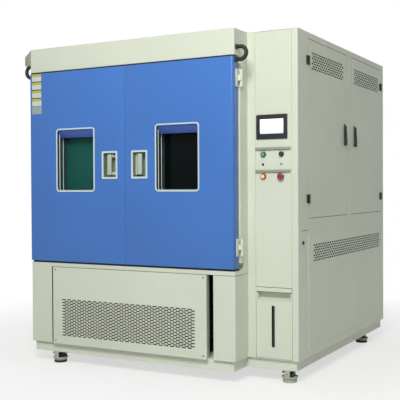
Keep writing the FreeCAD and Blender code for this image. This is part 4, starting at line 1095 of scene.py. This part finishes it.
def drawer_details():
    """Dark level tube with bright end clips behind the sight slot, a dark plate behind them as painted shade
    inside the drawer, and the drawer's lip with a black line under it as painted shade.
    """
    y = STEP_BACK
    x = LEVEL_X
    z0, z1 = LEVEL_Z
    r = 7.7
    tube = Form().turned(2, (x, y + 11, 0), [(0, z0), (r, z0), (r, z1), (0, z1)], 24)
    tube.make("level_tube", SIGHT_SLOT_SHADE, "tank_drawer")
    slab("level_back_shade", SIGHT_SLOT_SHADE, "tank_drawer", (x - 22, x + 22, y + 20.5, y + 21.7, z0 - 6.5, z1 + 7.5), 0.4)
    clips = Form()
    for z in (z0 + 1, z1 - 1):
        clips.turned(1, (x, y + 3.6, z), [(0, -2.9), (3.4, -2.9), (4.6, -1.6), (4.6, 2.0), (0, 2.0)], 20)
    clips.make("level_clips", CHROME, "tank_drawer")
    slab("drawer_lip", PAINT, "tank_drawer",
         (PANEL_X0 + 2, PANEL_X1 - 2, y - 4, y + 1.5, DRAWER_TOP - 26, DRAWER_TOP - 1), 1.2)
    # Black line under the lip: painted shade.
    slab("drawer_lip_line_shade", BLACK, "tank_drawer",
         (PANEL_X0 + 4, PANEL_X1 - 4, y - 1.5, y + 0.8, DRAWER_TOP - 28.5, DRAWER_TOP - 26))


def post_details():
    """Round lock, and a black strip as painted shade in the joint on the column's side, in front of the side
    doors.
    """
    profile = [(0, -5), (11.6, -5), (11.6, -0.4), (10.4, 0.9), (4.0, 0.9), (3.6, 0.1), (0, 0.1)]
    lock = Form().turned(0, (FULL_W + 5, *POST_LOCK), profile, 28)
    lock.make("post_lock_cap", BLACK, "chamber")
    slab("post_seam_shade", BLACK, "chamber", (FULL_W - 0.9, FULL_W + 0.25, *POST_SEAM))


# Side handles, feet and inner pieces

def side_handle_details(index):
    """Slim lifting handle on a round turning spindle."""
    name = ("front", "rear")[index]
    yc = LOCK_Y[index]
    handle = "side_handle_" + name
    lock = "side_lock_" + name
    x = FULL_W
    z = LOCK_Z0 + 12
    outline = [(x + 7, LOCK_TOP - 2), (x + 7, LOCK_Z0 + 70), (x + 11, LOCK_Z0), (x + 20, LOCK_Z0),
               (x + 20, LOCK_Z0 + 22), (x + 15, LOCK_TOP), (x + 13, LOCK_TOP + 4), (x + 9, LOCK_TOP + 4)]
    lever = Form().prism(1, outline, yc - 7.5, yc + 7.5)
    lever.make("side_grip_" + name, BLACK, handle, 1.5, cad=(handle,), slot="lock_black")
    disc = Form().turned(0, (x + 4, yc, z), [(0, -3), (9.5, -3), (9.5, 5.0), (8.5, 6.0), (0, 6.0)], 32)
    disc.make("side_disc_" + name, BLACK, lock, cad=(lock,), slot="lock_black")
    profile = [(0, -1), (5.0, -1), (5.4, 0.0), (5.4, 1.0), (4.6, 1.7), (1.6, 1.7), (1.4, 1.0), (0, 1.0)]
    key = Form().turned(0, (x + 20, yc, z), profile, 28)
    key.make("side_key_" + name, ZINC, handle)


def castor_details(place, x, y):
    """Ribbed levelling dial and the two heads of the wheel's bolt."""
    body = "castor_" + place
    teeth = 24
    loops = []
    for z, r in ((59.5, 12.2), (60.5, 12.9), (66.5, 12.9), (67.5, 12.2)):
        loops.append([(*polar(x - 24, y - 30, r - 0.7 * (i % 2), 180.0 * i / teeth), z)
                      for i in range(2 * teeth)])
    Form().rings(loops).make("castor_dial_" + place, DIAL, body)
    cap = Form()
    for s in (-1, 1):
        profile = [(0, 0), (5.2, 0), (5.2, s * 1.4), (4.0, s * 2.4), (0, s * 2.4)]
        cap.turned(1, (x, y + s * 47, 52), profile, 20)
    cap.make("castor_bolts_" + place, ZINC, body)


FEET = {
    "front_left": (190.0, 62.0),
    "front_right": (1775.0, 240.0),
    "rear_left": (190.0, 1645.0),
    "rear_right": (1775.0, 1645.0),
}

CAD_FINISH = {
    "base_frame": PLINTH_PAINT_LIT,
    "lower_casing": PAINT,
    "main_casing": PAINT,
    "header_cover": PAINT,
    "column_casing": PAINT,
    "control_panel": PAINT,
    "tank_drawer": PAINT,
    "touch_screen": BEZEL,
    "inner_liner": STEEL_UP,
    "specimen_rack": STEEL_UP,
    "xenon_lamp": QUARTZ,
    "refrigeration_unit": MACHINE,
    "electrics_plate": ELECTRICS,
    "drive_motors": MOTOR,
    "circulation_fan": STEEL_ACROSS,
    "door_shell": DOOR_PAINT,
    "door_liner": STEEL_UP,
    "door_gasket": RUBBER,
    "door_hinges": HINGE_PAINT,
    "door_lever": LEVER_GREY,
    "side_lock": BLACK,
    "side_handle": BLACK,
    "castor_wheel": NYLON,
    "levelling_pad": RUBBER,
    "levelling_pad_front_right": CASTOR_PAINT,
    "castor": CASTOR_PAINT,
}


def finish_cad_nodes():
    for name, obj in frame["nodes"].items():
        found = [key for key in CAD_FINISH if name.startswith(key)]
        for slot in obj.material_slots if found else ():
            slot.material = CAD_FINISH[max(found, key=len)]


# Surroundings

CAMERA = (3616.67, -4232.80, 1162.21)
YAW = 28.701
PITCH = -0.855
ROLL = -0.303
FOCAL_PIXELS = 806.01
PICTURE = 400.0


def camera():
    yaw, pitch, roll = (math.radians(v) for v in (YAW, PITCH, ROLL))
    ahead = Vector((-math.sin(yaw) * math.cos(pitch), math.cos(yaw) * math.cos(pitch), math.sin(pitch)))
    right = Vector((math.cos(yaw), math.sin(yaw), 0.0))
    up = right.cross(ahead)
    right, up = right * math.cos(roll) + up * math.sin(roll), up * math.cos(roll) - right * math.sin(roll)
    data = bpy.data.cameras.new("camera")
    data.sensor_width = 36.0
    data.lens = FOCAL_PIXELS * data.sensor_width / PICTURE
    obj = placed("camera", data)
    obj.matrix_world = Matrix.Translation(at(*CAMERA)) @ Matrix((right, up, -ahead)).transposed().to_4x4()
    bpy.context.scene.camera = obj


def lamp(name, place, target, size, watts, colour=(1.0, 1.0, 1.0)):
    data = bpy.data.lights.new(name, "AREA")
    data.shape = "DISK"
    data.size = size
    data.energy = watts
    data.color = colour
    obj = placed(name, data)
    obj.location = place
    obj.rotation_euler = (Vector(target) - Vector(place)).to_track_quat("-Z", "Y").to_euler()


def lights():
    middle = (0.0, -0.3, 1.0)
    lamp("key", (1.9, -4.9, 4.5), (0.2, -0.8, 1.9), 1.8, 246.0, (1.0, 1.0, 0.96))
    lamp("front_fill", (2.2, -6.5, 2.6), middle, 3.0, 18.0)
    lamp("side_fill", (5.5, -3.0, 3.2), (0.8, -0.6, 1.4), 3.0, 1.5)
    lamp("back_fill", (-4.5, 4.0, 3.0), middle, 3.0, 60.0)


WHITE = (1.0, 1.0, 1.0, 1.0)
AMBIENT = (0.94, 1.0, 0.9, 1.0)


def white_seen(tree):
    """One for rays from the camera, a reflection or a glass, else nothing."""
    path = add_node(tree, "ShaderNodeLightPath")
    seen = path.outputs["Is Camera Ray"]
    for ray in ("Is Glossy Ray", "Is Transmission Ray"):
        most = add_node(tree, "ShaderNodeMath")
        most.operation = "MAXIMUM"
        tree.links.new(seen, most.inputs[0])
        tree.links.new(path.outputs[ray], most.inputs[1])
        seen = most.outputs[0]
    return seen


def end_in_mix(tree, factor, first, second, kind):
    mix = add_node(tree, "ShaderNodeMixShader")
    out = add_node(tree, kind)
    tree.links.new(factor, mix.inputs["Fac"])
    tree.links.new(first.outputs[0], mix.inputs[1])
    tree.links.new(second.outputs[0], mix.inputs[2])
    tree.links.new(mix.outputs[0], out.inputs["Surface"])


def world():
    """White wherever it is seen, and a weak light otherwise."""
    made = bpy.data.worlds.new("world")
    bpy.context.scene.world = made
    made.use_nodes = True
    tree = made.node_tree
    tree.nodes.clear()
    seen = add_node(tree, "ShaderNodeBackground", Color=WHITE, Strength=1.0)
    light = add_node(tree, "ShaderNodeBackground", Color=AMBIENT, Strength=0.22)
    end_in_mix(tree, white_seen(tree), light, seen, "ShaderNodeOutputWorld")


def floor():
    """Round floor that fades into the white away from the chamber."""
    mesh = bpy.data.meshes.new("floor")
    points = circle(2, (0.0, 0.0, 0.0), 60.0, 0.0, 48)
    mesh.from_pydata(points, [], [tuple(range(len(points)))])
    obj = placed("floor", mesh)
    material = bpy.data.materials.new("floor_pale")
    material.use_nodes = True
    tree = material.node_tree
    tree.nodes.clear()
    paint = add_node(tree, "ShaderNodeBsdfDiffuse", Color=(0.9, 0.9, 0.9, 1.0))
    glow = add_node(tree, "ShaderNodeEmission", Color=WHITE, Strength=1.0)
    place = add_node(tree, "ShaderNodeTexCoord")
    far = add_node(tree, "ShaderNodeVectorMath")
    far.operation = "LENGTH"
    tree.links.new(place.outputs["Object"], far.inputs[0])
    fade = add_node(tree, "ShaderNodeMapRange", From_Min=1.2, From_Max=3.2, To_Min=0.62, To_Max=1.0)
    tree.links.new(far.outputs["Value"], fade.inputs["Value"])
    scaled = add_node(tree, "ShaderNodeMath")
    scaled.operation = "MULTIPLY"
    tree.links.new(fade.outputs["Result"], scaled.inputs[0])
    tree.links.new(white_seen(tree), scaled.inputs[1])
    end_in_mix(tree, scaled.outputs[0], paint, glow, "ShaderNodeOutputMaterial")
    mesh.materials.append(material)


def build():
    finish_cad_nodes()
    front_vent_panel()
    base_skin()
    service_panels()
    panel_screws()
    main_hinges()
    header_cowl()
    for side in SIDES:
        conduit(side)
        door_leaf(side)
        door_hinge_halves(side)
        pull_lever(side)
        window(side)
        pull_recess(side)
    blank_labels()
    for index in (0, 1):
        side_door(index)
        side_handle_details(index)
    for name in BUTTONS:
        push_button(name)
    panel_fittings()
    touch_screen()
    drawer_details()
    post_details()
    for place, (x, y) in FEET.items():
        castor_details(place, x, y)


build()
floor()
world()
lights()
camera()
bpy.context.scene.view_settings.view_transform = "Standard"
